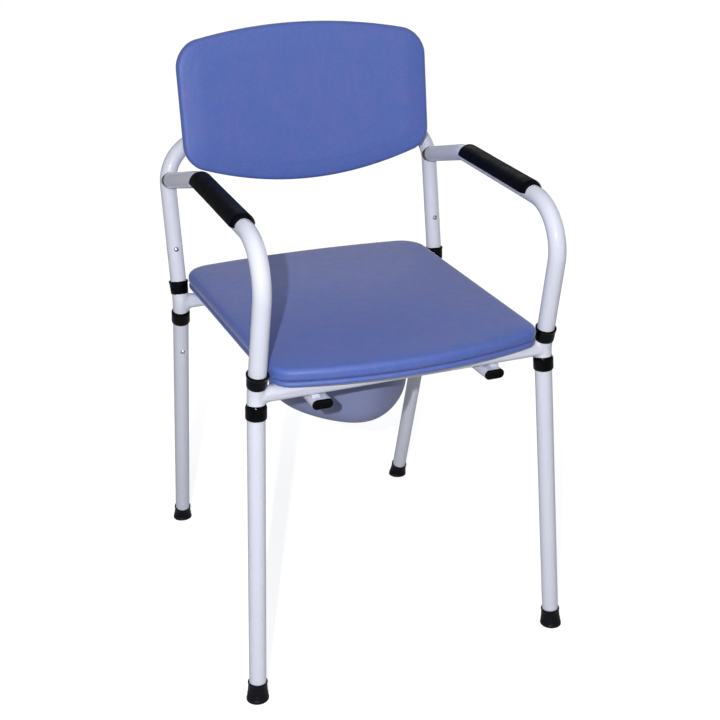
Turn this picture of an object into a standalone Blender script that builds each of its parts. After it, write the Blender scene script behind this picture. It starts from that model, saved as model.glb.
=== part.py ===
"""Commode chair: a knock-down tubular frame with four legs, arms, a padded back and a pan on rails.

-Y is the front, +X is to the right as seen from the front, +Z is up, and the floor is z = 0.
All sizes below are millimetres; meshes are written in metres.
"""

import math

import bmesh
import bpy
from mathutils import Matrix, Vector

MM = 0.001
GAP = 0.3

# Tubes and the spigots inside them
TUBE_R = 12.5
TUBE_BORE_R = 11.0
SPIGOT_R = 10.5
SPIGOT_BORE_R = 9.0
RAIL_R = 11.5
RAIL_BORE_R = 10.0
TUBE_SIDES = 16
SPIGOT_SIDES = 12
BEND_STEP = math.radians(15)

# Corner joints: where the leg line meets the upper tube's line, right-hand side
FRONT_JOINT = Vector((216.8, -244.6, 468.5))
REAR_JOINT = Vector((224.4, 142.6, 474.5))
FRONT_FOOT = Vector((243.0, -266.0, 0.0))
REAR_FOOT = Vector((218.0, 292.0, 0.0))
JOINT_BEND_R = 45.0

# Distances along the tubes from a corner joint
FRONT_SLEEVE_DOWN = 22.0
REAR_SLEEVE_DOWN = 30.0
SLEEVE_UP = 23.0
BUTT_GAP = 0.6
FRONT_LOWER_COLLAR = (12.0, 34.0)
REAR_LOWER_COLLAR = (15.2, 39.7)
UPPER_COLLAR = (14.5, 35.0)
SPIGOT_DOWN = 112.0
SPIGOT_UP = 104.0
LEG_BUTTON_AT = 94.5
UPPER_BUTTON_AT = 86.5

# Collars and feet
COLLAR_R = 14.6
COLLAR_BORE_R = 13.05
COLLAR_EDGE = 2.0
FOOT_BASE_R = 16.5
FOOT_RIM_R = 13.9
FOOT_BORE_R = 13.05
FOOT_HEIGHT = 29.0
FOOT_SOLE = 8.0
FOOT_FLARE = 6.0
FOOT_SIDES = 20

# Snap buttons
BUTTON_R = 3.5
BUTTON_HOLE_R = 3.9
BUTTON_PROUD = 1.7
BUTTON_RIVET_R = 4.8
BUTTON_RIVET = (5.6, 6.8)
BUTTON_SIDES = 12
SPRING_HALF_WIDTH = 3.0
SPRING_THICK = 0.8
SPRING_TOP = 6.7
SPRING_BOTTOM = -4.0
SPRING_START = -4.0
SPRING_FOLD = 28.0
SPRING_TAIL = 6.0
SPRING_CORNER = 3.4

# Arms: virtual corners of the tube's line, right-hand side
ARM_REAR = Vector((221.9, 155.5, 669.5))
ARM_ELBOW = Vector((213.5, 20.0, 700.5))
ARM_FRONT = Vector((210.0, -295.0, 683.0))
ELBOW_BEND_R = 50.0
FRONT_BEND_R = 66.0
ARM_PAD_Y = (5.0, -206.0)
ARM_PAD_R = 18.0
ARM_PAD_BORE_R = 13.1
ARM_PAD_HALF_ANGLE = math.radians(83)
ARM_PAD_STEPS = 10
SADDLE_THICK = 4.0
SADDLE_PLUG = 14.0
SADDLE_PLUG_R = 10.5
SADDLE_NEAR = 4.0

# Back hoop: uprights lean back by BACK_LEAN and meet in a crossbar behind the backrest
BACK_LEAN = 0.151
HOOP_TOP_Z = 727.0
HOOP_BEND_R = 70.0

# Backrest
BACK_HALF_WIDTH = 203.2
BACK_TOP_CORNER_Z = 871.5
BACK_TOP_BOW = 23.0
BACK_BOTTOM_CORNER_Z = 696.5
BACK_BOTTOM_BOW = 42.0
BACK_TOP_FILLET = 34.0
BACK_BOTTOM_FILLET = 25.0
BACK_FACE_Y = 148.0
BACK_FACE_Z = 780.0
BACK_TILT = 0.115
BACK_CURVE = 16.0
BACK_PAD_THICK = 17.0
BACK_BOARD_THICK = 5.0
BACK_BOARD_GAP = 1.0
BACK_BOARD_INSET = 7.0
BACK_BOSS_R = 9.0
BACK_SCREW_X = 85.0

# Seat: a ring and a lift-off pad that share one outline
SEAT_FRONT_HALF_WIDTH = 198.0
SEAT_REAR_HALF_WIDTH = 207.5
SEAT_FRONT_Y = -267.0
SEAT_REAR_Y = 185.0
SEAT_FRONT_BOW = 33.5
SEAT_REAR_BOW = 16.0
SEAT_FRONT_FILLET = 24.0
SEAT_REAR_FILLET = 37.0
SEAT_RING_THICK = 7.6
SEAT_PAD_GAP = 0.8
SEAT_PAD_THICK = 16.3
SEAT_PAD_EDGE = 7.0
SEAT_PAD_RECESS = 6.0
APERTURE_RX = 98.0
APERTURE_RY = 112.0
SEAT_LIFT = 5.0
SEAT_CLIP_X = 160.0
SEAT_CLIP_HALF_LENGTH = 14.0
SEAT_CLIP_HALF_WIDTH = 9.0
SEAT_CLIP_LOW = 5.0
SEAT_CLIP_TOP = -0.1

# Pan and its rails
PAN_Y = 4.0
PAN_RX = 108.5
PAN_RY = 116.5
PAN_TAPER = 0.3
PAN_FLANGE_R = 128.0
PAN_TOP_Z = 457.8
PAN_FLANGE_THICK = 3.0
PAN_DEPTH = 139.5
PAN_FILLET = 37.0
PAN_WALL = 2.5
PAN_SIDES = 28
PAN_STEPS = 7
PAN_RAIL_X = 129.5
PAN_RAIL_Z = 447.5
PAN_RAIL_HALF_WIDTH = 15.0
PAN_RAIL_HALF_HEIGHT = 7.0
PAN_RAIL_WALL = 1.5
PAN_RAIL_END_Y = 216.0
PAN_RAIL_MIDDLE_Y = -46.0
STUB_LENGTH = 16.0
STUB_WIDTH = 12.0
STUB_OFFSET = 6.0
STUB_SINK = 0.7
CAP_FLANGE = 2.6
CAP_PLUG = 10.0

# Screws and bolts
BOLT_R = 3.0
BOLT_HOLE_R = 3.4
BOLT_HEAD_R = 6.0
BOLT_HEAD_HEIGHT = 3.4
BOLT_HEAD_STANDOFF = 0.9
BOLT_LENGTH = 40.0
SCREW_R = 2.4
SCREW_HOLE_R = 2.8
SCREW_HEAD_R = 4.6
SCREW_HEAD_HEIGHT = 2.4
SCREW_LENGTH = 28.5


# ---------------------------------------------------------------- materials

def material(name, colour, roughness, metallic=0.0, alpha=1.0):
    made = bpy.data.materials.new(name)
    made.use_nodes = True
    shader = made.node_tree.nodes["Principled BSDF"]
    shader.inputs["Base Color"].default_value = (*colour, 1.0)
    shader.inputs["Roughness"].default_value = roughness
    shader.inputs["Metallic"].default_value = metallic
    shader.inputs["Alpha"].default_value = alpha
    return made


# ---------------------------------------------------------------- mesh helpers

def clear_scene():
    for old in list(bpy.data.objects):
        bpy.data.objects.remove(old, do_unlink=True)


def add_object(name, bm, finish, sharp_degrees=38.0):
    """Turn a millimetre bmesh into a scene object in metres."""
    bmesh.ops.recalc_face_normals(bm, faces=bm.faces)
    bmesh.ops.scale(bm, vec=(MM, MM, MM), verts=bm.verts)
    mesh = bpy.data.meshes.new(name)
    bm.to_mesh(mesh)
    bm.free()
    mesh.shade_smooth()
    mesh.set_sharp_from_angle(angle=math.radians(sharp_degrees))
    made = bpy.data.objects.new(name, mesh)
    bpy.context.scene.collection.objects.link(made)
    if finish is not None:
        mesh.materials.append(finish)
    return made


def as_guide(made):
    """Keep a cutter or a joined shape out of the finished part."""
    made.hide_render = True
    made.display_type = "WIRE"
    return made


def combine(target, other, operation):
    """Add a live EXACT Boolean of target with other."""
    step = target.modifiers.new(operation.lower() + "_" + other.name, "BOOLEAN")
    step.operation = operation
    step.solver = "EXACT"
    step.object = other


def place(made, origin, z_axis=Vector((0, 0, 1)), y_hint=Vector((0, 1, 0))):
    """Stand an object's local Z along z_axis, with its local Y as near y_hint as it can be."""
    z_axis = z_axis.normalized()
    x_axis = y_hint.cross(z_axis).normalized()
    y_axis = z_axis.cross(x_axis)
    turn = Matrix((x_axis, y_axis, z_axis)).transposed().to_4x4()
    made.matrix_world = Matrix.Translation(origin * MM) @ turn
    return made


def rounded_path(points, bend_radii):
    """Points of a polyline whose inner corners are arcs of the given radii."""
    path = [points[0]]
    for before, corner, after, radius in zip(points, points[1:], points[2:], bend_radii):
        towards = (before - corner).normalized()
        away = (after - corner).normalized()
        half = towards.angle(away) / 2
        turn = math.pi - 2 * half
        centre = corner + (towards + away).normalized() * (radius / math.sin(half))
        start = corner + towards * (radius / math.tan(half)) - centre
        end = corner + away * (radius / math.tan(half)) - centre
        steps = max(2, math.ceil(turn / BEND_STEP))
        for i in range(steps + 1):
            t = i / steps
            weight_start = math.sin((1 - t) * turn) / math.sin(turn)
            weight_end = math.sin(t * turn) / math.sin(turn)
            path.append(centre + start * weight_start + end * weight_end)
    path.append(points[-1])
    return path


def path_frames(path, side_hint):
    """A side and an up vector for each path point, square to the path."""
    frames = []
    for i, point in enumerate(path):
        ahead = path[min(i + 1, len(path) - 1)]
        behind = path[max(i - 1, 0)]
        along = (ahead - behind).normalized()
        side = (side_hint - along * side_hint.dot(along)).normalized()
        frames.append((point, side, along.cross(side)))
    return frames


def bridge(bm, lower, upper):
    count = len(lower)
    for i in range(count):
        j = (i + 1) % count
        bm.faces.new((lower[i], lower[j], upper[j], upper[i]))


def sweep(path, outer, inner=0.0, sides=TUBE_SIDES, side_hint=Vector((1, 0, 0))):
    """A rod, or with an inner radius an open-ended tube, along a path."""
    bm = bmesh.new()
    rings = {outer: [], inner: []}
    radii = (outer, inner) if inner else (outer,)
    for point, side, up in path_frames(path, side_hint):
        for radius in radii:
            ring = []
            for k in range(sides):
                angle = 2 * math.pi * k / sides
                offset = side * math.cos(angle) + up * math.sin(angle)
                ring.append(bm.verts.new(point + offset * radius))
            rings[radius].append(ring)
    for radius in radii:
        for lower, upper in zip(rings[radius], rings[radius][1:]):
            bridge(bm, lower, upper)
    if inner:
        bridge(bm, rings[outer][0], rings[inner][0])
        bridge(bm, rings[outer][-1], rings[inner][-1])
    else:
        bm.faces.new(rings[outer][0])
        bm.faces.new(rings[outer][-1])
    return bm


def turned(profile, sides, closed=False):
    """A solid of revolution about Z. A profile point at radius 0 becomes a pole."""
    bm = bmesh.new()
    rings = []
    for radius, height in profile:
        if radius == 0:
            rings.append([bm.verts.new((0, 0, height))])
            continue
        ring = []
        for k in range(sides):
            angle = 2 * math.pi * k / sides
            ring.append(bm.verts.new((radius * math.cos(angle), radius * math.sin(angle), height)))
        rings.append(ring)
    pairs = list(zip(rings, rings[1:]))
    if closed:
        pairs.append((rings[-1], rings[0]))
    for lower, upper in pairs:
        if len(lower) == 1 or len(upper) == 1:
            pole = lower[0] if len(lower) == 1 else upper[0]
            ring = upper if len(lower) == 1 else lower
            for k in range(sides):
                bm.faces.new((pole, ring[k], ring[(k + 1) % sides]))
        else:
            bridge(bm, lower, upper)
    return bm


def box(low, high):
    bm = bmesh.new()
    size = [b - a for a, b in zip(low, high)]
    middle = Vector([(a + b) / 2 for a, b in zip(low, high)])
    bmesh.ops.create_cube(bm, size=1.0, matrix=Matrix.Translation(middle) @ Matrix.Diagonal((*size, 1)))
    return bm


def drill(target, origin, direction, radius, reach):
    """Cut a round hole through an object, reaching both ways from origin."""
    profile = [(0, -reach), (radius, -reach), (radius, reach), (0, reach)]
    cutter = add_object("drill_" + target.name, turned(profile, BUTTON_SIDES), None)
    place(as_guide(cutter), origin, direction, Vector((0.3, 0.1, 1)))
    combine(target, cutter, "DIFFERENCE")


def rounded_trapezoid(half_low, half_high, low, high, fillet_low, fillet_high, edge_steps=8, arc_steps=4):
    """Outline points of a trapezoid with round corners, anticlockwise, as (across, along)."""
    corners = [(half_low, low, fillet_low), (half_high, high, fillet_high),
               (-half_high, high, fillet_high), (-half_low, low, fillet_low)]
    outline = []
    for i, (x, y, radius) in enumerate(corners):
        corner = Vector((x, y))
        before = (Vector(corners[i - 1][:2]) - corner).normalized()
        following = corners[(i + 1) % 4]
        after = (Vector(following[:2]) - corner).normalized()
        half = before.angle(after) / 2
        reach = radius / math.tan(half)
        centre = corner + (before + after).normalized() * (radius / math.sin(half))
        start = (corner + before * reach) - centre
        end = (corner + after * reach) - centre
        turn = math.pi - 2 * half
        for k in range(arc_steps + 1):
            t = k / arc_steps
            arc = start * math.sin((1 - t) * turn) + end * math.sin(t * turn)
            outline.append(centre + arc / math.sin(turn))
        other = following[2] / math.tan(math.pi / 2 - half)
        gap_start = corner + after * reach
        gap_end = Vector(following[:2]) - after * other
        for k in range(1, edge_steps):
            outline.append(gap_start.lerp(gap_end, k / edge_steps))
    return outline


def bow_outline(outline, half_width, low_bow, high_bow, low, high):
    """Push an outline's two level edges outwards into shallow curves."""
    middle = (low + high) / 2
    bowed = []
    for x, y in outline:
        crown = max(0.0, 1 - (x / half_width) ** 2)
        reach = (y - middle) / (high - middle)
        push = high_bow * reach if reach > 0 else low_bow * reach
        bowed.append(Vector((x, y + push * crown)))
    return bowed


def inset_outline(outline, distance):
    """Move each outline point inwards, square to the outline."""
    moved = []
    for i, point in enumerate(outline):
        along = outline[(i + 1) % len(outline)] - outline[i - 1]
        inward = Vector((-along.y, along.x)).normalized()
        moved.append(point + inward * distance)
    return moved


def layered(outline, layers, to_space):
    """A closed solid from (inset, scale, height) layers of one outline, with a point at each end."""
    bm = bmesh.new()
    centre = sum(outline, Vector((0, 0))) / len(outline)
    rings = []
    for inset, scale, height in layers:
        shifted = inset_outline(outline, inset)
        ring = [centre + (p - centre) * scale for p in shifted]
        rings.append([bm.verts.new(to_space(p.x, p.y, height)) for p in ring])
    for lower, upper in zip(rings, rings[1:]):
        bridge(bm, lower, upper)
    for ring, height in ((rings[0], layers[0][2]), (rings[-1], layers[-1][2])):
        pole = bm.verts.new(to_space(centre.x, centre.y, height))
        for k in range(len(ring)):
            bm.faces.new((pole, ring[k], ring[(k + 1) % len(ring)]))
    return bm


# ---------------------------------------------------------------- corners

def mirrored(vector, side):
    return Vector((vector.x * side, vector.y, vector.z))


def make_corner(label, side, is_front):
    """Everything that is found from one corner joint."""
    joint = mirrored(FRONT_JOINT if is_front else REAR_JOINT, side)
    foot = mirrored(FRONT_FOOT if is_front else REAR_FOOT, side)
    if is_front:
        up = (mirrored(ARM_FRONT, side) - joint).normalized()
    else:
        up = Vector((0, BACK_LEAN, 1)).normalized()
    return {
        "label": label,
        "side": side,
        "front": is_front,
        "joint": joint,
        "foot": foot,
        "down": (foot - joint).normalized(),
        "up": up,
        "button_way": Vector((0, 1, 0)) if is_front else Vector((0, -1, 0)),
    }


def corner_path(corner, down, up):
    start = corner["joint"] + corner["down"] * down
    end = corner["joint"] + corner["up"] * up
    return rounded_path([start, corner["joint"], end], [JOINT_BEND_R])


def sleeve_down(corner):
    return FRONT_SLEEVE_DOWN if corner["front"] else REAR_SLEEVE_DOWN


def across(direction, axis):
    """The part of a direction that is square to an axis."""
    return (direction - axis * direction.dot(axis)).normalized()


def button_places(corner):
    """Name prefix, origin on the tube's axis and tube direction of the leg button and the upper button."""
    leg = corner["joint"] + corner["down"] * LEG_BUTTON_AT
    upper = corner["joint"] + corner["up"] * UPPER_BUTTON_AT
    return [("leg_button_", leg, corner["down"]), ("upper_button_", upper, corner["up"])]


# ---------------------------------------------------------------- seat frame

def build_cross_frame(name, corners, finish):
    """Two corner sleeves and the tube welded between them, all with one open bore."""
    left, right = corners
    sleeves = []
    for corner in corners:
        path = corner_path(corner, sleeve_down(corner), SLEEVE_UP)
        sleeves.append(sweep(path, TUBE_R))
    frame = add_object(name, sleeves[0], finish)
    span = [left["joint"], right["joint"]]
    tube = sweep(span, RAIL_R, side_hint=Vector((0, 0, 1)))
    for suffix, shape in (("_sleeve", sleeves[1]), ("_tube", tube)):
        combine(frame, as_guide(add_object(name + suffix, shape, None)), "UNION")
    past = 2 * TUBE_R
    for corner in corners:
        bore = sweep(corner_path(corner, past + sleeve_down(corner), past + SLEEVE_UP), TUBE_BORE_R)
        combine(frame, as_guide(add_object(name + "_bore_" + corner["label"], bore, None)), "DIFFERENCE")
    tube_bore = sweep(span, RAIL_BORE_R, side_hint=Vector((0, 0, 1)))
    combine(frame, as_guide(add_object(name + "_tube_bore", tube_bore, None)), "DIFFERENCE")
    return frame


def build_spigot(corner, finish):
    """The bent inner tube that carries the leg below and the upper tube above."""
    tube = sweep(corner_path(corner, SPIGOT_DOWN, SPIGOT_UP), SPIGOT_R, SPIGOT_BORE_R, SPIGOT_SIDES)
    spigot = add_object("spigot_" + corner["label"], tube, finish)
    for _, origin, axis in button_places(corner):
        way = across(corner["button_way"], axis)
        drill(spigot, origin + way * SPIGOT_R, way, BUTTON_HOLE_R, 3.0)
    return spigot


def build_collar(name, corner, way, span, taper_first, finish):
    """A plastic ring with one tapered lip, from span[0] to span[1] along the tube."""
    low, high = span
    lip = COLLAR_R - COLLAR_EDGE * 0.7
    plain = COLLAR_R - COLLAR_EDGE * 0.35
    near, far = (lip, plain) if taper_first else (plain, lip)
    profile = [(COLLAR_BORE_R, low), (near, low), (COLLAR_R, low + COLLAR_EDGE),
               (COLLAR_R, high - COLLAR_EDGE), (far, high), (COLLAR_BORE_R, high)]
    collar = add_object(name + corner["label"], turned(profile, TUBE_SIDES, closed=True), finish)
    return place(collar, corner["joint"], way)


def stadium(half_width, half_height, steps=6):
    """Outline of an oval tube as (across, up) points, anticlockwise."""
    points = []
    straight = half_width - half_height
    for centre, start in ((straight, -math.pi / 2), (-straight, math.pi / 2)):
        for k in range(steps + 1):
            angle = start + math.pi * k / steps
            points.append((centre + half_height * math.cos(angle), half_height * math.sin(angle)))
    return points


def prism(levels):
    """A closed solid through outlines of equal length, each given as (points, y)."""
    bm = bmesh.new()
    rings = [[bm.verts.new((x, y, z)) for x, z in points] for points, y in levels]
    for lower, upper in zip(rings, rings[1:]):
        bridge(bm, lower, upper)
    bm.faces.new(rings[0])
    bm.faces.new(rings[-1])
    return bm


def build_pan_rail(side_name, side, rail_ends, finish):
    """An oval tube under the cross tubes, with a welded stub below each of them."""
    outside = stadium(PAN_RAIL_HALF_WIDTH, PAN_RAIL_HALF_HEIGHT)
    inside = stadium(PAN_RAIL_HALF_WIDTH - PAN_RAIL_WALL, PAN_RAIL_HALF_HEIGHT - PAN_RAIL_WALL)
    tube = prism([(outside, -PAN_RAIL_END_Y), (outside, PAN_RAIL_END_Y)])
    rail = add_object("pan_rail_" + side_name, tube, finish)
    past = PAN_RAIL_END_Y + 5
    bore = add_object("pan_rail_bore", prism([(inside, -past), (inside, past)]), None)
    middle = Vector((PAN_RAIL_X * side, PAN_RAIL_MIDDLE_Y, PAN_RAIL_Z))
    for made in (rail, as_guide(bore)):
        made.location = middle * MM
    stub_x = (PAN_RAIL_X + STUB_OFFSET) * side
    stub_foot = PAN_RAIL_Z + PAN_RAIL_HALF_HEIGHT - STUB_SINK
    for end_y, top in rail_ends:
        low = (stub_x - STUB_WIDTH / 2, end_y - STUB_LENGTH / 2, stub_foot)
        high = (stub_x + STUB_WIDTH / 2, end_y + STUB_LENGTH / 2, top)
        combine(rail, as_guide(add_object("pan_rail_stub", box(low, high), None)), "UNION")
    combine(rail, bore, "DIFFERENCE")
    return rail


def build_rail_cap(name, side, way, finish):
    """An oval plug with a flange that closes the end of a pan rail."""
    round_over = 1.2
    core_inset = PAN_RAIL_WALL + GAP
    full, face, core = (stadium(PAN_RAIL_HALF_WIDTH - inset, PAN_RAIL_HALF_HEIGHT - inset)
                        for inset in (0, round_over, core_inset))
    levels = [(core, -CAP_PLUG), (core, GAP), (full, GAP), (full, CAP_FLANGE - 1), (face, CAP_FLANGE)]
    cap = add_object(name, prism(levels), finish)
    end = Vector((PAN_RAIL_X * side, PAN_RAIL_MIDDLE_Y + way * PAN_RAIL_END_Y, PAN_RAIL_Z))
    cap.location = end * MM
    cap.rotation_euler = (0, 0, 0 if way > 0 else math.pi)
    return cap


# ---------------------------------------------------------------- legs and feet

def build_leg(corner, finish):
    """A leg tube, its origin on the tube's axis at the corner joint."""
    top = sleeve_down(corner) + BUTT_GAP
    length = (corner["foot"] - corner["joint"]).length
    bottom = length - FOOT_SOLE - GAP
    leg = add_object("leg_" + corner["label"], sweep([Vector((0, 0, top)), Vector((0, 0, bottom))],
                                                     TUBE_R, TUBE_BORE_R), finish)
    place(leg, corner["joint"], corner["down"])
    _, origin, axis = button_places(corner)[0]
    way = across(corner["button_way"], axis)
    drill(leg, origin + way * TUBE_R, way, BUTTON_HOLE_R, 4.0)
    return leg


def build_foot(corner, finish):
    """A tapered rubber ferrule, cut level with the floor."""
    rim = FOOT_HEIGHT
    profile = [(0, -2 * FOOT_FLARE), (FOOT_BASE_R - 1.0, -2 * FOOT_FLARE), (FOOT_BASE_R, -1.0),
               (FOOT_BASE_R, FOOT_FLARE / 2), (FOOT_BASE_R - 1.1, FOOT_FLARE), (FOOT_RIM_R + 0.5, rim - 2),
               (FOOT_RIM_R - 0.4, rim), (FOOT_BORE_R, rim), (FOOT_BORE_R, FOOT_SOLE), (0, FOOT_SOLE)]
    bm = turned(profile, FOOT_SIDES)
    foot = place(add_object("foot_" + corner["label"], bm, finish), corner["foot"], -corner["down"])
    floor_local = foot.matrix_world.inverted()
    cut = bmesh.new()
    cut.from_mesh(foot.data)
    geometry = list(cut.verts) + list(cut.edges) + list(cut.faces)
    normal = (floor_local.to_3x3() @ Vector((0, 0, 1))).normalized()
    sliced = bmesh.ops.bisect_plane(cut, geom=geometry, plane_co=floor_local @ Vector((0, 0, 0)),
                                    plane_no=normal, clear_inner=True)
    rim_edges = [e for e in sliced["geom_cut"] if isinstance(e, bmesh.types.BMEdge)]
    bmesh.ops.contextual_create(cut, geom=rim_edges)
    bmesh.ops.recalc_face_normals(cut, faces=cut.faces)
    cut.to_mesh(foot.data)
    cut.free()
    foot.data.set_sharp_from_angle(angle=math.radians(38))
    return foot


# ---------------------------------------------------------------- snap buttons

def hairpin(inset):
    """One side of the folded strip as (along, out): a long upper leaf, the fold and a short lower leaf."""
    top = SPRING_TOP - inset
    bottom = SPRING_BOTTOM + inset
    fold = SPRING_FOLD - inset
    return [(SPRING_START, top), (fold - SPRING_CORNER, top), (fold, top - SPRING_CORNER),
            (fold, bottom + SPRING_CORNER), (fold - SPRING_CORNER, bottom), (SPRING_TAIL, bottom)]


def build_button(name, origin, axis, button_way, finish):
    """A domed pin riveted to a folded spring strip. Local Z is the way it pops out."""
    way = across(button_way, axis)
    top = TUBE_R + BUTTON_PROUD
    rivet_low, rivet_high = BUTTON_RIVET
    profile = [(0, rivet_low), (BUTTON_RIVET_R, rivet_low), (BUTTON_RIVET_R, rivet_high),
               (BUTTON_R, rivet_high), (BUTTON_R, TUBE_R + 0.4), (BUTTON_R * 0.72, top - 0.5), (0, top)]
    pin = add_object(name, turned(profile, BUTTON_SIDES), finish)
    strip = hairpin(0) + hairpin(SPRING_THICK)[::-1]
    bm = bmesh.new()
    near = [bm.verts.new((-SPRING_HALF_WIDTH, y, z)) for y, z in strip]
    far = [bm.verts.new((SPRING_HALF_WIDTH, y, z)) for y, z in strip]
    bridge(bm, near, far)
    bm.faces.new(near)
    bm.faces.new(far)
    spring = as_guide(add_object(name + "_spring", bm, None))
    combine(pin, spring, "UNION")
    for made in (pin, spring):
        place(made, origin, way, axis)
    return pin


# ---------------------------------------------------------------- back hoop and backrest

def hoop_path():
    """Right upright, crossbar and left upright in one bent tube."""
    start = REAR_JOINT + Vector((0, BACK_LEAN, 1)).normalized() * (SLEEVE_UP + BUTT_GAP)
    rise = HOOP_TOP_Z - REAR_JOINT.z
    corner = REAR_JOINT + Vector((0, BACK_LEAN * rise, rise))
    points = [start, corner, mirrored(corner, -1), mirrored(start, -1)]
    return rounded_path(points, [HOOP_BEND_R, HOOP_BEND_R])


def build_hoop(corners, finish):
    tube = sweep(hoop_path(), TUBE_R, TUBE_BORE_R, side_hint=Vector((0, 1, 0)))
    hoop = add_object("back_hoop", tube, finish)
    for corner in corners:
        _, origin, axis = button_places(corner)[1]
        way = across(corner["button_way"], axis)
        drill(hoop, origin + way * TUBE_R, way, BUTTON_HOLE_R, 4.0)
    for side in (1, -1):
        drill(hoop, upright_at_arm(side), arm_start_way(side), BOLT_HOLE_R, 3 * TUBE_R)
        drill(hoop, back_screw_origin(side), Vector((0, 1, 0)), SCREW_HOLE_R, 2 * TUBE_R)
    return hoop


def back_space(x, z, depth):
    """The backrest's curved, tilted space: depth runs from the sitter's side to the back."""
    y = BACK_FACE_Y + BACK_TILT * (z - BACK_FACE_Z) - BACK_CURVE * (x / BACK_HALF_WIDTH) ** 2
    return Vector((x, y + depth, z))


def back_outline():
    plain = rounded_trapezoid(BACK_HALF_WIDTH, BACK_HALF_WIDTH, BACK_BOTTOM_CORNER_Z, BACK_TOP_CORNER_Z,
                              BACK_BOTTOM_FILLET, BACK_TOP_FILLET)
    return bow_outline(plain, BACK_HALF_WIDTH, BACK_BOTTOM_BOW, BACK_TOP_BOW,
                       BACK_BOTTOM_CORNER_Z, BACK_TOP_CORNER_Z)


def back_screw_origin(side):
    rise = HOOP_TOP_Z - REAR_JOINT.z
    return Vector((BACK_SCREW_X * side, REAR_JOINT.y + BACK_LEAN * rise, HOOP_TOP_Z))


def build_back_pad(finish):
    thick = BACK_PAD_THICK
    layers = [(5, 0.4, 0), (5, 0.75, 0), (5, 1, 0), (1.4, 1, 1.6), (0, 1, 5), (0, 1, thick - 2),
              (2, 1, thick), (2, 0.75, thick), (2, 0.4, thick)]
    return add_object("back_pad", layered(back_outline(), layers, back_space), finish)


def build_back_board(finish):
    """The stiff panel behind the pad, with a round boss that meets the crossbar at each screw."""
    near = BACK_PAD_THICK + BACK_BOARD_GAP
    far = near + BACK_BOARD_THICK
    inset = BACK_BOARD_INSET
    layers = [(inset, 0.4, near), (inset, 0.75, near), (inset, 1, near), (inset, 1, far - 1.5),
              (inset + 1.5, 1, far), (inset, 0.75, far), (inset, 0.4, far)]
    board = add_object("back_board", layered(back_outline(), layers, back_space), finish)
    for side in (1, -1):
        origin = back_screw_origin(side)
        face = back_space(origin.x, origin.z, near + 1.0).y
        meet = origin.y - TUBE_R - GAP
        profile = [(0, face), (BACK_BOSS_R, face), (BACK_BOSS_R, meet), (0, meet)]
        boss = add_object("boss", turned(profile, BUTTON_SIDES), None)
        place(as_guide(boss), Vector((origin.x, 0, origin.z)), Vector((0, 1, 0)), Vector((0.1, 0, 1)))
        combine(board, boss, "UNION")
        drill(board, Vector((origin.x, meet, origin.z)), Vector((0, 1, 0)), SCREW_HOLE_R, 5.0)
    return board


def fastener(name, head_r, head_height, shank_r, length, finish):
    """A domed head on a plain shank. Local Z points out of the head, z = 0 under the head."""
    profile = [(0, -length), (shank_r, -length), (shank_r, 0), (head_r, 0), (head_r, head_height * 0.35),
               (head_r * 0.75, head_height * 0.85), (0, head_height)]
    return add_object(name, turned(profile, BUTTON_SIDES), finish)


def build_back_screw(side_name, side, finish):
    """Holds the back board to the crossbar from behind."""
    name = "back_screw_" + side_name
    screw = fastener(name, SCREW_HEAD_R, SCREW_HEAD_HEIGHT, SCREW_R, SCREW_LENGTH, finish)
    backwards = Vector((0, 1, 0))
    return place(screw, back_screw_origin(side) + backwards * (TUBE_R + GAP), backwards, Vector((1, 0, 0)))


def build_arm_bolt(side_name, side, finish):
    """Holds the arm and its saddle to the upright from behind."""
    bolt = fastener("arm_bolt_" + side_name, BOLT_HEAD_R, BOLT_HEAD_HEIGHT, BOLT_R, BOLT_LENGTH, finish)
    way = -arm_start_way(side)
    return place(bolt, upright_at_arm(side) + way * (TUBE_R + BOLT_HEAD_STANDOFF), way, Vector((1, 0, 0)))


# ---------------------------------------------------------------- arms

def arm_start_way(side):
    return (mirrored(ARM_ELBOW, side) - mirrored(ARM_REAR, side)).normalized()


def upright_at_arm(side):
    """The point on the upright's axis that the arm's first stretch points at."""
    way = arm_start_way(1)
    upright_y = REAR_JOINT.y + BACK_LEAN * (ARM_REAR.z - REAR_JOINT.z)
    reach = (upright_y - ARM_REAR.y) / (BACK_LEAN * way.z - way.y)
    return mirrored(ARM_REAR - way * reach, side)


def arm_path(side):
    start = upright_at_arm(side) + arm_start_way(side) * (TUBE_R + SADDLE_THICK)
    front = make_corner("", side, True)
    end = front["joint"] + front["up"] * (SLEEVE_UP + BUTT_GAP)
    points = [start, mirrored(ARM_ELBOW, side), mirrored(ARM_FRONT, side), end]
    return rounded_path(points, [ELBOW_BEND_R, FRONT_BEND_R])


def build_arm(side_name, side, corner, finish):
    arm = add_object("arm_tube_" + side_name, sweep(arm_path(side), TUBE_R, TUBE_BORE_R), finish)
    _, origin, axis = button_places(corner)[1]
    way = across(corner["button_way"], axis)
    drill(arm, origin + way * TUBE_R, way, BUTTON_HOLE_R, 4.0)
    return arm


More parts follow.
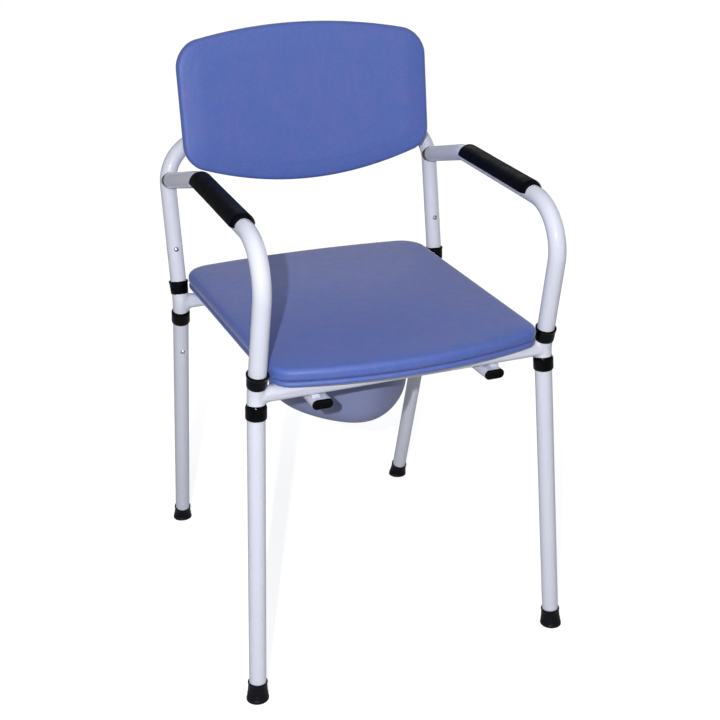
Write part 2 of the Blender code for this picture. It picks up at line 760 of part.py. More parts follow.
def build_arm_pad(side_name, side, finish):
    """A half shell that clips over the top of the arm tube."""
    elbow = mirrored(ARM_ELBOW, side)
    front = mirrored(ARM_FRONT, side)
    along = (front - elbow).normalized()
    up = across(Vector((0, 0, 1)), along)
    aside = along.cross(up)
    bm = bmesh.new()
    rings = []
    there = range(ARM_PAD_STEPS + 1)
    for y in ARM_PAD_Y:
        point = elbow + along * ((y - elbow.y) / along.y)
        ring = []
        for radius, order in ((ARM_PAD_R, there), (ARM_PAD_BORE_R, reversed(there))):
            for k in order:
                angle = ARM_PAD_HALF_ANGLE * (2 * k / ARM_PAD_STEPS - 1)
                ring.append(bm.verts.new(point + (up * math.cos(angle) + aside * math.sin(angle)) * radius))
        rings.append(ring)
    bridge(bm, *rings)
    bm.faces.new(rings[0])
    bm.faces.new(rings[1])
    return add_object("arm_pad_" + side_name, bm, finish)


def build_saddle(side_name, side, finish):
    """A plug in the arm's rear end with a face that is hollowed to sit on the upright."""
    near = TUBE_R + SADDLE_THICK - GAP
    profile = [(0, SADDLE_NEAR), (TUBE_R, SADDLE_NEAR), (TUBE_R, near), (SADDLE_PLUG_R, near),
               (SADDLE_PLUG_R, near + SADDLE_PLUG), (0, near + SADDLE_PLUG)]
    saddle = add_object("arm_saddle_" + side_name, turned(profile, TUBE_SIDES), finish)
    place(saddle, upright_at_arm(side), arm_start_way(side), Vector((1, 0, 0)))
    upright = sweep(hoop_path(), TUBE_R + 0.5, side_hint=Vector((0, 1, 0)))
    combine(saddle, as_guide(add_object("upright_cut", upright, None)), "DIFFERENCE")
    drill(saddle, upright_at_arm(side), arm_start_way(side), BOLT_HOLE_R, BOLT_LENGTH)
    return saddle


# ---------------------------------------------------------------- seat and pan

def seat_outline():
    plain = rounded_trapezoid(SEAT_FRONT_HALF_WIDTH, SEAT_REAR_HALF_WIDTH, SEAT_FRONT_Y, SEAT_REAR_Y,
                              SEAT_FRONT_FILLET, SEAT_REAR_FILLET)
    return bow_outline(plain, SEAT_REAR_HALF_WIDTH, SEAT_FRONT_BOW, SEAT_REAR_BOW, SEAT_FRONT_Y, SEAT_REAR_Y)


def seat_empty():
    """An empty at the middle of the seat's underside, tilted to lie on both cross tubes' clips."""
    rise = Vector((0, 0, RAIL_R + GAP + SEAT_LIFT))
    front = FRONT_JOINT + rise
    rear = REAR_JOINT + rise
    tilt = math.atan2(rear.z - front.z, rear.y - front.y)
    level = bpy.data.objects.new("seat_level", None)
    bpy.context.scene.collection.objects.link(level)
    level.location = Vector((0, 0, front.z - front.y * math.tan(tilt))) * MM
    level.rotation_euler = (tilt, 0, 0)
    return level


def flat_space(x, y, height):
    return Vector((x, y, height))


def build_seat_ring(level, finish):
    thick = SEAT_RING_THICK
    layers = [(3, 0.8, 0.2), (3, 1, 0.2), (0, 1, 3), (0, 1, thick - 3), (3, 1, thick), (3, 0.8, thick)]
    ring = add_object("seat_ring", layered(seat_outline(), layers, flat_space), finish)
    ring.parent = level
    profile = [(0, -30), (1, -30), (1, 30), (0, 30)]
    aperture = as_guide(add_object("aperture", turned(profile, PAN_SIDES), None))
    aperture.data.transform(Matrix.Diagonal((APERTURE_RX, APERTURE_RY, 1, 1)))
    aperture.parent = level
    aperture.location = (0, PAN_Y * MM, 0)
    combine(ring, aperture, "DIFFERENCE")
    return ring


def build_seat_clip(corner, level, finish):
    """A block under the seat ring, hollowed to sit over the cross tube."""
    bpy.context.view_layer.update()
    joint = corner["joint"]
    bottom = Vector((SEAT_CLIP_X * corner["side"], joint.y, joint.z + SEAT_CLIP_LOW)) * MM
    low = level.matrix_world.inverted() @ bottom / MM
    high = Vector((low.x, low.y, SEAT_CLIP_TOP))
    half = Vector((SEAT_CLIP_HALF_LENGTH, SEAT_CLIP_HALF_WIDTH, 0))
    clip = add_object("seat_clip_" + corner["label"], box(low - half, high + half), finish)
    clip.parent = level
    ends = [joint, Vector((0, joint.y, joint.z))]
    hollow = sweep(ends, RAIL_R + 0.4, side_hint=Vector((0, 0, 1)))
    combine(clip, as_guide(add_object("rail_cut", hollow, None)), "DIFFERENCE")


def build_seat_pad(level, finish):
    edge = SEAT_PAD_EDGE
    top = SEAT_PAD_THICK
    recess = SEAT_PAD_RECESS
    layers = [(3, 0.70, recess), (3, 0.72, 0), (3, 1, 0), (0, 1, 2.5), (0, 1, top - edge),
              (edge * 0.3, 1, top - edge * 0.3), (edge, 1, top), (edge, 0.8, top + 1.0),
              (edge, 0.5, top + 1.6)]
    pad = add_object("seat_pad", layered(seat_outline(), layers, flat_space), finish)
    pad.parent = level
    pad.location = (0, 0, (SEAT_RING_THICK + SEAT_PAD_GAP) * MM)
    return pad


def pan_outline(rx, ry, drop, taper=PAN_TAPER):
    """One level outline of the pan: an oval that narrows towards the front as taper grows."""
    points = []
    for k in range(PAN_SIDES):
        angle = 2 * math.pi * k / PAN_SIDES
        across = rx * math.cos(angle) * (1 + taper * math.sin(angle))
        points.append(Vector((across, ry * math.sin(angle), -drop)))
    return points


def pan_wall(inset):
    """The bowl's outside or inside, from the foot of its straight wall to its flat bottom."""
    depth = PAN_DEPTH - inset
    fillet = PAN_FILLET - inset
    outlines = []
    for k in range(PAN_STEPS + 1):
        angle = math.pi / 2 * k / PAN_STEPS
        across, down = inset + fillet * (1 - math.cos(angle)), depth - fillet * (1 - math.sin(angle))
        outlines.append(pan_outline(PAN_RX - across, PAN_RY - across, down))
    return outlines


def build_pan(finish):
    """A deep pan with a round flange that rides on both rails."""
    outlines = pan_wall(PAN_WALL)[::-1] + [pan_outline(PAN_RX - PAN_WALL, PAN_RY - PAN_WALL, 0)]
    for radius, drop in ((PAN_FLANGE_R - 1, 0), (PAN_FLANGE_R, 1), (PAN_FLANGE_R, PAN_FLANGE_THICK)):
        outlines.append(pan_outline(radius, radius, drop, taper=0))
    outlines += [pan_outline(PAN_RX, PAN_RY, PAN_FLANGE_THICK)] + pan_wall(0)
    bm = bmesh.new()
    rings = [[bm.verts.new(point) for point in outline] for outline in outlines]
    for lower, upper in zip(rings, rings[1:]):
        bridge(bm, lower, upper)
    for bottom in (rings[0], rings[-1]):
        bm.faces.new(bottom)
    pan = add_object("pan", bm, finish)
    pan.location = Vector((0, PAN_Y, PAN_TOP_Z)) * MM
    return pan


# ---------------------------------------------------------------- assembly

def main():
    clear_scene()
    white = material("white_powder_coat", (0.78, 0.80, 0.86), 0.35)
    steel = material("zinc_steel", (0.62, 0.63, 0.65), 0.35, metallic=1.0)
    black = material("black_plastic", (0.012, 0.012, 0.014), 0.4)
    rubber = material("black_rubber", (0.014, 0.014, 0.015), 0.75)
    blue = material("blue_skin", (0.105, 0.150, 0.42), 0.6)
    board_finish = material("back_board_plastic", (0.03, 0.03, 0.035), 0.5)
    pan_finish = material("pan_plastic", (0.33, 0.36, 0.50), 0.35, alpha=0.95)

    layout = (("fl", -1, True), ("fr", 1, True), ("rl", -1, False), ("rr", 1, False))
    corners = {label: make_corner(label, side, is_front) for label, side, is_front in layout}
    front = (corners["fl"], corners["fr"])
    rear = (corners["rl"], corners["rr"])
    sides = (("l", -1), ("r", 1))

    build_cross_frame("front_rail", front, white)
    build_cross_frame("rear_rail", rear, white)
    rail_ends = ((FRONT_JOINT.y, FRONT_JOINT.z - RAIL_R - GAP), (REAR_JOINT.y, REAR_JOINT.z - RAIL_R - GAP))
    for side_name, side in sides:
        build_pan_rail(side_name, side, rail_ends, white)
        build_rail_cap("rail_cap_f" + side_name, side, -1, black)
        build_rail_cap("rail_cap_r" + side_name, side, 1, black)

    for corner in corners.values():
        lower = FRONT_LOWER_COLLAR if corner["front"] else REAR_LOWER_COLLAR
        build_spigot(corner, steel)
        build_collar("collar_lower_", corner, corner["down"], lower, True, black)
        build_collar("collar_upper_", corner, corner["up"], UPPER_COLLAR, False, black)
        build_leg(corner, white)
        build_foot(corner, rubber)
        for prefix, origin, axis in button_places(corner):
            build_button(prefix + corner["label"], origin, axis, corner["button_way"], steel)

    build_hoop(rear, white)
    build_back_pad(blue)
    build_back_board(board_finish)
    for side_name, side in sides:
        build_arm(side_name, side, corners["f" + side_name], white)
        build_arm_pad(side_name, side, rubber)
        build_saddle(side_name, side, black)
        build_arm_bolt(side_name, side, steel)
        build_back_screw(side_name, side, steel)

    level = seat_empty()
    build_seat_ring(level, blue)
    for corner in corners.values():
        build_seat_clip(corner, level, black)
    build_seat_pad(level, blue)
    build_pan(pan_finish)


main()
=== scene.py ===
"""Looks of the commode chair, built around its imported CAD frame.

Lengths in the functions below are millimetres in the frame's own axes, -Y at the front and +Z up.
Meshes are written in metres. Labels: l and r are seen from the front; fl, fr, rl and rr are corners.
"""

from math import atan2, ceil, cos, pi, radians, sin, sqrt, tan

import bmesh
import bpy
import numpy as np
from mathutils import Matrix, Vector


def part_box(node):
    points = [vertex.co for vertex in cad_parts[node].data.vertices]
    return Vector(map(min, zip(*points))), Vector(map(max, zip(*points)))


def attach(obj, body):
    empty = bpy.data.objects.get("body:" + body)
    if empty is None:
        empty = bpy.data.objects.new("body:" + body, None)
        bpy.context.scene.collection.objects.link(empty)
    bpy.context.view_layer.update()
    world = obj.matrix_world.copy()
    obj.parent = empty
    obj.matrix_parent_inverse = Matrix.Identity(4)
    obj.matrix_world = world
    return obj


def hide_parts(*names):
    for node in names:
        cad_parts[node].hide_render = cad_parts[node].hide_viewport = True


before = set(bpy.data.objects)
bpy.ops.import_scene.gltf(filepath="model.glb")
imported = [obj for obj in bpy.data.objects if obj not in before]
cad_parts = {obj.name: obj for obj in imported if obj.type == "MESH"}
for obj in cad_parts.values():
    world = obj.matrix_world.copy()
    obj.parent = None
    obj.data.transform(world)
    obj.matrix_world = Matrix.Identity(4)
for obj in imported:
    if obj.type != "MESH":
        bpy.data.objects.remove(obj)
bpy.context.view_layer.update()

MM = 0.001
SIDES = 40
BEND_STEP = radians(5)
X_AXIS, Y_AXIS, Z_AXIS = Vector((1, 0, 0)), Vector((0, 1, 0)), Vector((0, 0, 1))
CORNERS = ("fl", "fr", "rl", "rr")
HANDS = (("l", -1), ("r", 1))

# Camera, lights and floor, in metres and degrees; the lens is in millimetres
CAMERA_AT = (-0.61090, -1.63514, 1.11255)
CAMERA_TURN = (67.5217, 0.7725, -21.4917)
CAMERA_LENS = 59.351
CAMERA_SHIFT_X = 0.0041667
LIT_POINT = Vector((0, 0, 0.5))
FLOOR_R = 9.0
FLOOR_DROP = 0.0004

# Tubes
TUBE_R = 12.5
TUBE_BORE_R = 11.0
RAIL_R = 11.5
RAIL_BORE_R = 10.0
JOINT_BEND_R = 45.0
SLEEVE_UP = 23.0
FRONT_SLEEVE_DOWN = 22.0
REAR_SLEEVE_DOWN = 30.0
BUTT_GAP = 0.6
HOLE_R = 3.9
WELD_LEG = 5.5
WELD_STEPS = 72
WELD_RIPPLES = 20
WELD_RIPPLE = 0.05
WELD_SINK = 0.8
WELD_PROUD = 0.12

# Corner joints, feet and the arm's line, right-hand side
FRONT_JOINT = Vector((216.8, -244.6, 468.5))
REAR_JOINT = Vector((224.4, 142.6, 474.5))
FRONT_FOOT = Vector((243.0, -266.0, 0.0))
REAR_FOOT = Vector((218.0, 292.0, 0.0))
ARM_REAR = Vector((221.9, 155.5, 669.5))
ARM_ELBOW = Vector((213.5, 20.0, 700.5))
ARM_FRONT = Vector((210.0, -295.0, 683.0))
ELBOW_BEND_R = 50.0
FRONT_BEND_R = 66.0
SADDLE_THICK = 4.0
SADDLE_PLUG = 14.0
SADDLE_PLUG_R = 10.5
ARM_BOLT_HOLE_R = 3.4
BACK_SCREW_HOLE_R = 2.8
BACK_LEAN = 0.151
UPRIGHT_WAY = Vector((0, BACK_LEAN, 1)).normalized()
HOOP_TOP_Z = 727.0
HOOP_BEND_R = 70.0

# Along the tubes from a corner joint
FRONT_LOWER_COLLAR = (12.0, 34.0)
REAR_LOWER_COLLAR = (15.2, 39.7)
UPPER_COLLAR = (14.5, 35.0)
LEG_BUTTON_AT = 94.5
UPPER_BUTTON_AT = 86.5
COLLAR_R = 14.6
COLLAR_BORE_R = 13.0

# Feet
FOOT_BASE_R = 16.5
FOOT_RIM_R = 14.1
FOOT_BORE_R = 12.9
FOOT_HEIGHT = 29.0
FOOT_SOLE = 8.0

# Arm pads
ARM_PAD_R = 18.0
ARM_PAD_BORE_R = 12.8
ARM_PAD_HALF_ANGLE = radians(83)

# Backrest
BACK_HALF_WIDTH = 203.2
BACK_TOP_CORNER_Z = 871.5
BACK_TOP_BOW = 23.0
BACK_BOTTOM_CORNER_Z = 696.5
BACK_BOTTOM_BOW = 42.0
BACK_TOP_FILLET = 34.0
BACK_BOTTOM_FILLET = 25.0
BACK_FACE_Y = 148.0
BACK_FACE_Z = 780.0
BACK_TILT = 0.115
BACK_CURVE = 16.0
BACK_PAD_THICK = 17.0
BACK_SHOULDER = 27.0
BACK_SHOULDER_DEPTH = 6.5
BACK_REAR_EDGE = 1.6
BACK_SIDES = 240
BACK_PAD_SWELL = 2.4
BACK_BOARD_THICK = 5.0
BACK_BOARD_GAP = 1.0
BACK_BOARD_INSET = 7.0
BACK_BOSS_R = 9.0
BACK_SCREW_X = 85.0

# Seat
SEAT_FRONT_HALF_WIDTH = 198.0
SEAT_REAR_HALF_WIDTH = 207.5
SEAT_FRONT_Y = -267.0
SEAT_REAR_Y = 185.0
SEAT_FRONT_BOW = 33.5
SEAT_REAR_BOW = 16.0
SEAT_FRONT_FILLET = 24.0
SEAT_REAR_FILLET = 37.0
SEAT_RING_THICK = 7.6
SEAT_RING_LOW_EDGE = 3.0
SEAT_RING_HIGH_EDGE = 4.2
SEAT_PAD_GAP = 0.8
SEAT_PAD_THICK = 16.3
SEAT_PAD_LOW_EDGE = 4.8
SEAT_PAD_HIGH_EDGE = 7.0
SEAT_PAD_CROWN = 1.3
SEAT_PAD_RECESS = 6.0
SEAT_PAD_SWELL = 2.0
SWELL_PRESSURE = 4.0
SEAT_LIFT = 5.0
SEAT_SIDES = 280
APERTURE_RX = 98.0
APERTURE_RY = 112.0

# Pan and its rails
PAN_Y = 4.0
PAN_RX = 108.5
PAN_RY = 116.5
PAN_TAPER = 0.3
PAN_FLANGE_R = 128.0
PAN_TOP_Z = 457.8
PAN_DEPTH = 139.5
PAN_FILLET = 37.0
PAN_WALL = 2.5
PAN_SIDES = 96
PAN_RAIL_X = 129.5
PAN_RAIL_Z = 447.5
PAN_RAIL_HALF_WIDTH = 15.0
PAN_RAIL_HALF_HEIGHT = 7.0
PAN_RAIL_WALL = 1.5
PAN_RAIL_FRONT_Y = -262.0
PAN_RAIL_REAR_Y = 170.0
STUB_X = 135.5
STUB_WIDTH = 12.0
STUB_DEPTH = 16.0
CROSS_TUBE_HALF_LENGTH = 190.0


# ---- camera, light and floor

def new_object(name, data):
    """An object in the scene with the given data."""
    made = bpy.data.objects.new(name, data)
    bpy.context.scene.collection.objects.link(made)
    return made


def make_camera():
    camera = new_object("camera", bpy.data.cameras.new("camera"))
    camera.location = CAMERA_AT
    camera.rotation_euler = [radians(angle) for angle in CAMERA_TURN]
    camera.data.sensor_width = 36.0
    camera.data.lens = CAMERA_LENS
    camera.data.shift_x = CAMERA_SHIFT_X
    camera.data.clip_start = 0.01
    camera.data.clip_end = 50.0
    bpy.context.scene.camera = camera


def set_inputs(node, **values):
    """Set a shader node's inputs by their names, with underscores for spaces."""
    for name, value in values.items():
        node.inputs[name.replace("_", " ")].default_value = value


def area_light(name, place, size, power, colour=(1, 1, 1)):
    light = bpy.data.lights.new(name, "AREA")
    light.shape = "DISK"
    light.size = size
    light.energy = power
    light.color = colour
    lamp = new_object(name, light)
    lamp.location = place
    lamp.rotation_euler = (Vector(place) - LIT_POINT).to_track_quat("Z", "Y").to_euler()


def make_lights():
    """A small key beside the camera, wide fills above and behind, and dim pale surroundings."""
    bpy.context.scene.view_settings.view_transform = "Standard"
    area_light("key", (-0.80, -1.80, 1.28), size=0.03, power=34.5, colour=(1.0, 0.985, 0.98))
    area_light("front_fill", (-1.1, -1.9, 1.9), size=1.2, power=5)
    area_light("overhead", (-0.1, -0.9, 2.5), size=1.8, power=9)
    area_light("back_fill", (1.2, 3.6, 2.9), size=2.6, power=19)
    area_light("side_fill", (2.0, 1.0, 0.7), size=1.2, power=7)
    world = bpy.data.worlds.new("studio")
    bpy.context.scene.world = world
    world.use_nodes = True
    background = world.node_tree.nodes["Background"]
    set_inputs(background, Color=(0.96, 0.97, 1.0, 1))
    split_strength(world.node_tree, background.inputs["Strength"], lighting=0.21, seen=1.05)


def split_strength(tree, socket, lighting, seen):
    """Give a socket one strength for what the camera sees and another for what lights the object."""
    path = tree.nodes.new("ShaderNodeLightPath")
    strength = tree.nodes.new("ShaderNodeMapRange")
    set_inputs(strength, To_Min=lighting, To_Max=seen)
    tree.links.new(path.outputs["Is Camera Ray"], strength.inputs["Value"])
    tree.links.new(strength.outputs["Result"], socket)


def make_floor():
    """A pale disc with faint contact shadows that fades into the bright background."""
    bm = bmesh.new()
    bmesh.ops.create_circle(bm, cap_ends=True, segments=96, radius=FLOOR_R)
    mesh = bpy.data.meshes.new("floor")
    bm.to_mesh(mesh)
    bm.free()
    floor = new_object("floor", mesh)
    floor.location.z = -FLOOR_DROP
    finish = bpy.data.materials.new("floor")
    finish.use_nodes = True
    tree = finish.node_tree
    nodes, links = tree.nodes, tree.links
    matte = nodes["Principled BSDF"]
    set_inputs(matte, Base_Color=(0.5, 0.502, 0.51, 1), Roughness=0.9, Specular_IOR_Level=0.0,
               Emission_Color=(0.98, 0.985, 1.0, 1))
    split_strength(tree, matte.inputs["Emission Strength"], lighting=0.08, seen=0.76)
    glow = nodes.new("ShaderNodeEmission")
    split_strength(tree, glow.inputs["Strength"], lighting=0.3, seen=1.05)
    distance = nodes.new("ShaderNodeVectorMath")
    distance.operation = "LENGTH"
    links.new(nodes.new("ShaderNodeTexCoord").outputs["Object"], distance.inputs[0])
    fade = nodes.new("ShaderNodeMapRange")
    fade.interpolation_type = "SMOOTHSTEP"
    set_inputs(fade, From_Min=0.3, From_Max=1.4, To_Min=0.15)
    links.new(distance.outputs["Value"], fade.inputs["Value"])
    mix = nodes.new("ShaderNodeMixShader")
    links.new(fade.outputs["Result"], mix.inputs["Fac"])
    links.new(matte.outputs["BSDF"], mix.inputs[1])
    links.new(glow.outputs["Emission"], mix.inputs[2])
    links.new(mix.outputs["Shader"], nodes["Material Output"].inputs["Surface"])
    floor.data.materials.append(finish)


# ---- materials

class Finish:
    """A Principled material for one of the record's slots, with detail added in object coordinates."""

    def __init__(self, slot, colour, roughness, **sockets):
        self.slot = slot
        self.material = bpy.data.materials.new(slot)
        self.material.use_nodes = True
        self.nodes = self.material.node_tree.nodes
        self.links = self.material.node_tree.links
        self.shader = self.nodes["Principled BSDF"]
        set_inputs(self.shader, Base_Color=(*colour, 1), Roughness=roughness, **sockets)
        self.colour = None
        self.bump = None
        self.place = self.nodes.new("ShaderNodeTexCoord").outputs["Object"]

    def noise(self, per_metre, detail, stretch=(1, 1, 1)):
        mapping = self.nodes.new("ShaderNodeMapping")
        set_inputs(mapping, Scale=stretch)
        self.links.new(self.place, mapping.inputs["Vector"])
        noise = self.nodes.new("ShaderNodeTexNoise")
        set_inputs(noise, Scale=per_metre, Detail=detail)
        self.links.new(mapping.outputs["Vector"], noise.inputs["Vector"])
        return noise.outputs["Fac"]

    def cells(self, per_metre):
        cells = self.nodes.new("ShaderNodeTexVoronoi")
        cells.feature = "SMOOTH_F1"
        set_inputs(cells, Scale=per_metre, Smoothness=0.6)
        self.links.new(self.place, cells.inputs["Vector"])
        return cells.outputs["Distance"]

    def ramp(self, source, low, high, to_low, to_high):
        spread = self.nodes.new("ShaderNodeMapRange")
        spread.interpolation_type = "SMOOTHSTEP"
        set_inputs(spread, From_Min=low, From_Max=high, To_Min=to_low, To_Max=to_high)
        self.links.new(source, spread.inputs["Value"])
        return spread.outputs["Result"]

    def tint(self, source, low, high, amount, colour):
        """Mix in a second colour, from none where source is low up to amount where it is high."""
        mix = self.nodes.new("ShaderNodeMix")
        mix.data_type = "RGBA"
        if self.colour is None:
            set_inputs(mix, A=self.shader.inputs["Base Color"].default_value)
        else:
            self.links.new(self.colour, mix.inputs["A"])
        set_inputs(mix, B=(*colour, 1))
        self.links.new(self.ramp(source, low, high, 0, amount), mix.inputs["Factor"])
        self.colour = mix.outputs["Result"]
        self.links.new(self.colour, self.shader.inputs["Base Color"])

    def gloss(self, source, low, high):
        """Let the roughness wander between low and high."""
        self.links.new(self.ramp(source, 0.3, 0.7, low, high), self.shader.inputs["Roughness"])

    def relief(self, height, depth_mm, strength=1.0):
        """Stack a bump of the given depth."""
        bump = self.nodes.new("ShaderNodeBump")
        set_inputs(bump, Strength=strength, Distance=depth_mm * MM)
        self.links.new(height, bump.inputs["Height"])
        if self.bump is not None:
            self.links.new(self.bump, bump.inputs["Normal"])
        self.bump = bump.outputs["Normal"]
        self.links.new(self.bump, self.shader.inputs["Normal"])


def powder_coat():
    """White powder coat: orange peel, faint cloudiness and a few grey specks."""
    made = Finish("white_powder_coat", (0.625, 0.648, 0.745), 0.46, Specular_IOR_Level=0.18, Coat_Weight=0.45,
                  Coat_Roughness=0.07)
    made.tint(made.noise(9, 4), 0.35, 0.75, 0.5, (0.59, 0.615, 0.712))
    made.tint(made.noise(900, 2), 0.72, 0.78, 0.3, (0.54, 0.56, 0.64))
    made.gloss(made.noise(60, 4), 0.40, 0.52)
    made.relief(made.noise(420, 2), 0.05)
    made.relief(made.noise(1500, 2), 0.012)
    return made


def zinc_steel():
    """Bright zinc plate with fine drawn lines and dull patches."""
    made = Finish("zinc_steel", (0.66, 0.67, 0.69), 0.3, Metallic=1.0)
    made.tint(made.noise(180, 4), 0.4, 0.7, 0.6, (0.50, 0.51, 0.54))
    made.gloss(made.noise(240, 4, stretch=(1, 1, 8)), 0.2, 0.45)
    made.relief(made.noise(1600, 2, stretch=(1, 1, 0.1)), 0.01)
    return made


def black_plastic():
    """Glossy injection-moulded black plastic with faint flow marks and handling scuffs."""
    made = Finish("black_plastic", (0.0006, 0.0006, 0.0014), 0.1, Specular_IOR_Level=0.16)
    made.tint(made.noise(140, 4), 0.45, 0.75, 0.8, (0.003, 0.003, 0.0045))
    made.gloss(made.noise(320, 5, stretch=(1, 1, 0.3)), 0.08, 0.11)
    made.relief(made.noise(500, 3), 0.003)
    return made


def arm_pad_skin():
    """Satin black foam skin with a fine pebble grain."""
    made = Finish("arm_pad_rubber", (0.0012, 0.0014, 0.0028), 0.46, Specular_IOR_Level=0.05)
    made.tint(made.noise(45, 5), 0.35, 0.75, 0.8, (0.0024, 0.0028, 0.0055))
    made.gloss(made.noise(90, 4), 0.38, 0.54)
    made.relief(made.cells(700), 0.07, 0.7)
    made.relief(made.noise(90, 3), 0.10, 0.5)
    return made


def foot_rubber():
    """Matte moulded rubber, a little dusty towards the floor."""
    made = Finish("foot_rubber", (0.004, 0.0043, 0.007), 0.4, Specular_IOR_Level=0.14)
    height = made.nodes.new("ShaderNodeSeparateXYZ")
    made.links.new(made.place, height.inputs["Vector"])
    made.tint(height.outputs["Z"], 0.008, 0.0, 0.3, (0.03, 0.029, 0.032))
    made.tint(made.noise(220, 5), 0.45, 0.8, 0.6, (0.008, 0.0085, 0.013))
    made.gloss(made.noise(300, 4), 0.3, 0.5)
    made.relief(made.noise(900, 4), 0.03)
    return made


def blue_skin():
    """Moulded polyurethane skin: blue with a violet bloom, fine mottling and a close woven grain."""
    made = Finish("blue_skin", (0.070, 0.122, 0.395), 0.50, Specular_IOR_Level=0.46, Sheen_Weight=0.3,
                  Sheen_Roughness=0.35, Sheen_Tint=(1.0, 0.9, 0.88, 1))
    made.tint(made.noise(24, 4), 0.36, 0.68, 0.8, (0.090, 0.121, 0.385))
    made.tint(made.noise(110, 5, stretch=(1, 1, 0.45)), 0.40, 0.70, 0.6, (0.062, 0.116, 0.40))
    made.tint(made.noise(420, 2), 0.5, 0.72, 0.4, (0.125, 0.165, 0.47))
    made.gloss(made.noise(60, 4), 0.5, 0.57)
    made.relief(made.cells(900), 0.05, 0.8)
    made.relief(made.noise(260, 4, stretch=(1, 1, 0.4)), 0.05, 0.6)
    return made


def board_plastic():
    """Black moulded panel with a coarse spark-eroded texture."""
    made = Finish("back_board_plastic", (0.012, 0.012, 0.015), 0.6, Specular_IOR_Level=0.3)
    made.tint(made.noise(60, 4), 0.4, 0.7, 0.7, (0.02, 0.02, 0.024))
    made.gloss(made.noise(120, 3), 0.46, 0.64)
    made.relief(made.noise(1100, 3), 0.03)
    return made


def pan_plastic():
    """Cloudy grey-blue polypropylene, streaked by the mould flow."""
    made = Finish("pan_plastic", (0.195, 0.222, 0.39), 0.42, Specular_IOR_Level=0.4)
    made.tint(made.noise(14, 4, stretch=(1, 1, 0.35)), 0.35, 0.72, 0.6, (0.175, 0.195, 0.33))
    made.tint(made.noise(120, 5), 0.45, 0.75, 0.3, (0.225, 0.25, 0.42))
    made.gloss(made.noise(70, 4), 0.34, 0.5)
    made.relief(made.noise(380, 3), 0.03)
    return made


# ---- mesh helpers

def add_piece(name, bm, finish=None, node=None, sharp_degrees=35.0, body="frame"):
    """Turn a millimetre bmesh into an object; with a finish it is a piece that rides on a body."""
    bmesh.ops.recalc_face_normals(bm, faces=bm.faces)
    bmesh.ops.scale(bm, vec=(MM, MM, MM), verts=bm.verts)
    mesh = bpy.data.meshes.new(name)
    bm.to_mesh(mesh)
    bm.free()
    mesh.shade_smooth()
    mesh.set_sharp_from_angle(angle=radians(sharp_degrees))
    piece = new_object(name, mesh)
    if finish is not None:
        mesh.materials.append(finish.material)
        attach(piece, body)
    if node is not None:
        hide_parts(node)
    return piece


def carve(target_bm, cuts=(), joins=()):
    """The millimetre bmesh with other bmeshes united to it and then cut from it."""
    base = add_piece("carve_base", target_bm)
    tools = []
    for operation, shapes in (("UNION", joins), ("DIFFERENCE", cuts)):
        for shape in shapes:
            tool = add_piece("carve_tool", shape)
            step = base.modifiers.new(operation, "BOOLEAN")
            step.operation = operation
            step.solver = "EXACT"
            step.object = tool
            tools.append(tool)
    depsgraph = bpy.context.evaluated_depsgraph_get()
    depsgraph.update()
    result = bmesh.new()
    result.from_mesh(base.evaluated_get(depsgraph).to_mesh())
    bmesh.ops.scale(result, vec=(1 / MM, 1 / MM, 1 / MM), verts=result.verts)
    for used in (base, *tools):
        mesh = used.data
        bpy.data.objects.remove(used)
        bpy.data.meshes.remove(mesh)
    return result


def bridge(bm, lower, upper):
    """Faces between two rings of as many vertices."""
    for i in range(len(lower)):
        bm.faces.new((lower[i - 1], lower[i], upper[i], upper[i - 1]))


def fan(bm, pole, ring):
    """Faces from a pole to a ring."""
    for i in range(len(ring)):
        bm.faces.new((pole, ring[i - 1], ring[i]))


def skin(rings, closed=False):
    """A bmesh over rings of points, whose ends are either capped or, if closed, joined."""
    bm = bmesh.new()
    made = [[bm.verts.new(p) for p in ring] for ring in rings]
    for lower, upper in zip(made, made[1:]):
        bridge(bm, lower, upper)
    if closed:
        bridge(bm, made[-1], made[0])
    else:
        bm.faces.new(made[0])
        bm.faces.new(made[-1])
    return bm


def circle(radius, sides=SIDES):
    angles = [2 * pi * k / sides for k in range(sides)]
    return [(radius * cos(angle), radius * sin(angle)) for angle in angles]


def turned(profile, sides, matrix):
    """A solid turned about Z from (radius, height) points. It ends in poles, or its profile is closed."""
    bm = bmesh.new()
    rings = []
    for radius, height in profile:
        if radius == 0:
            rings.append([bm.verts.new((0, 0, height))])
        else:
            rings.append([bm.verts.new((x, y, height)) for x, y in circle(radius, sides)])
    if profile[0][0] > 0:
        rings.append(rings[0])
    for lower, upper in zip(rings, rings[1:]):
        if len(lower) == 1:
            fan(bm, lower[0], upper)
        elif len(upper) == 1:
            fan(bm, upper[0], lower)
        else:
            bridge(bm, lower, upper)
    bmesh.ops.transform(bm, matrix=matrix, verts=bm.verts)
    return bm


def stand(origin, up, y_hint=Y_AXIS):
    """Matrix that stands local Z along up at origin, local Y near y_hint."""
    up = up.normalized()
    aside = y_hint.cross(up).normalized()
    turn = Matrix((aside, up.cross(aside), up)).transposed().to_4x4()
    return Matrix.Translation(origin) @ turn


def corner_arc(before, corner, after, radius, steps=None):
    """Points of the arc that rounds a corner between its two neighbours."""
    towards = (before - corner).normalized()
    away = (after - corner).normalized()
    half = towards.angle(away) / 2
    turn = pi - 2 * half
    centre = corner + (towards + away).normalized() * (radius / sin(half))
    reach = radius / tan(half)
    start = corner + towards * reach - centre
    end = corner + away * reach - centre
    steps = steps or max(3, ceil(turn / BEND_STEP))
    points = []
    for i in range(steps + 1):
        t = i / steps
        arm = start * sin((1 - t) * turn) + end * sin(t * turn)
        points.append(centre + arm / sin(turn))
    return points


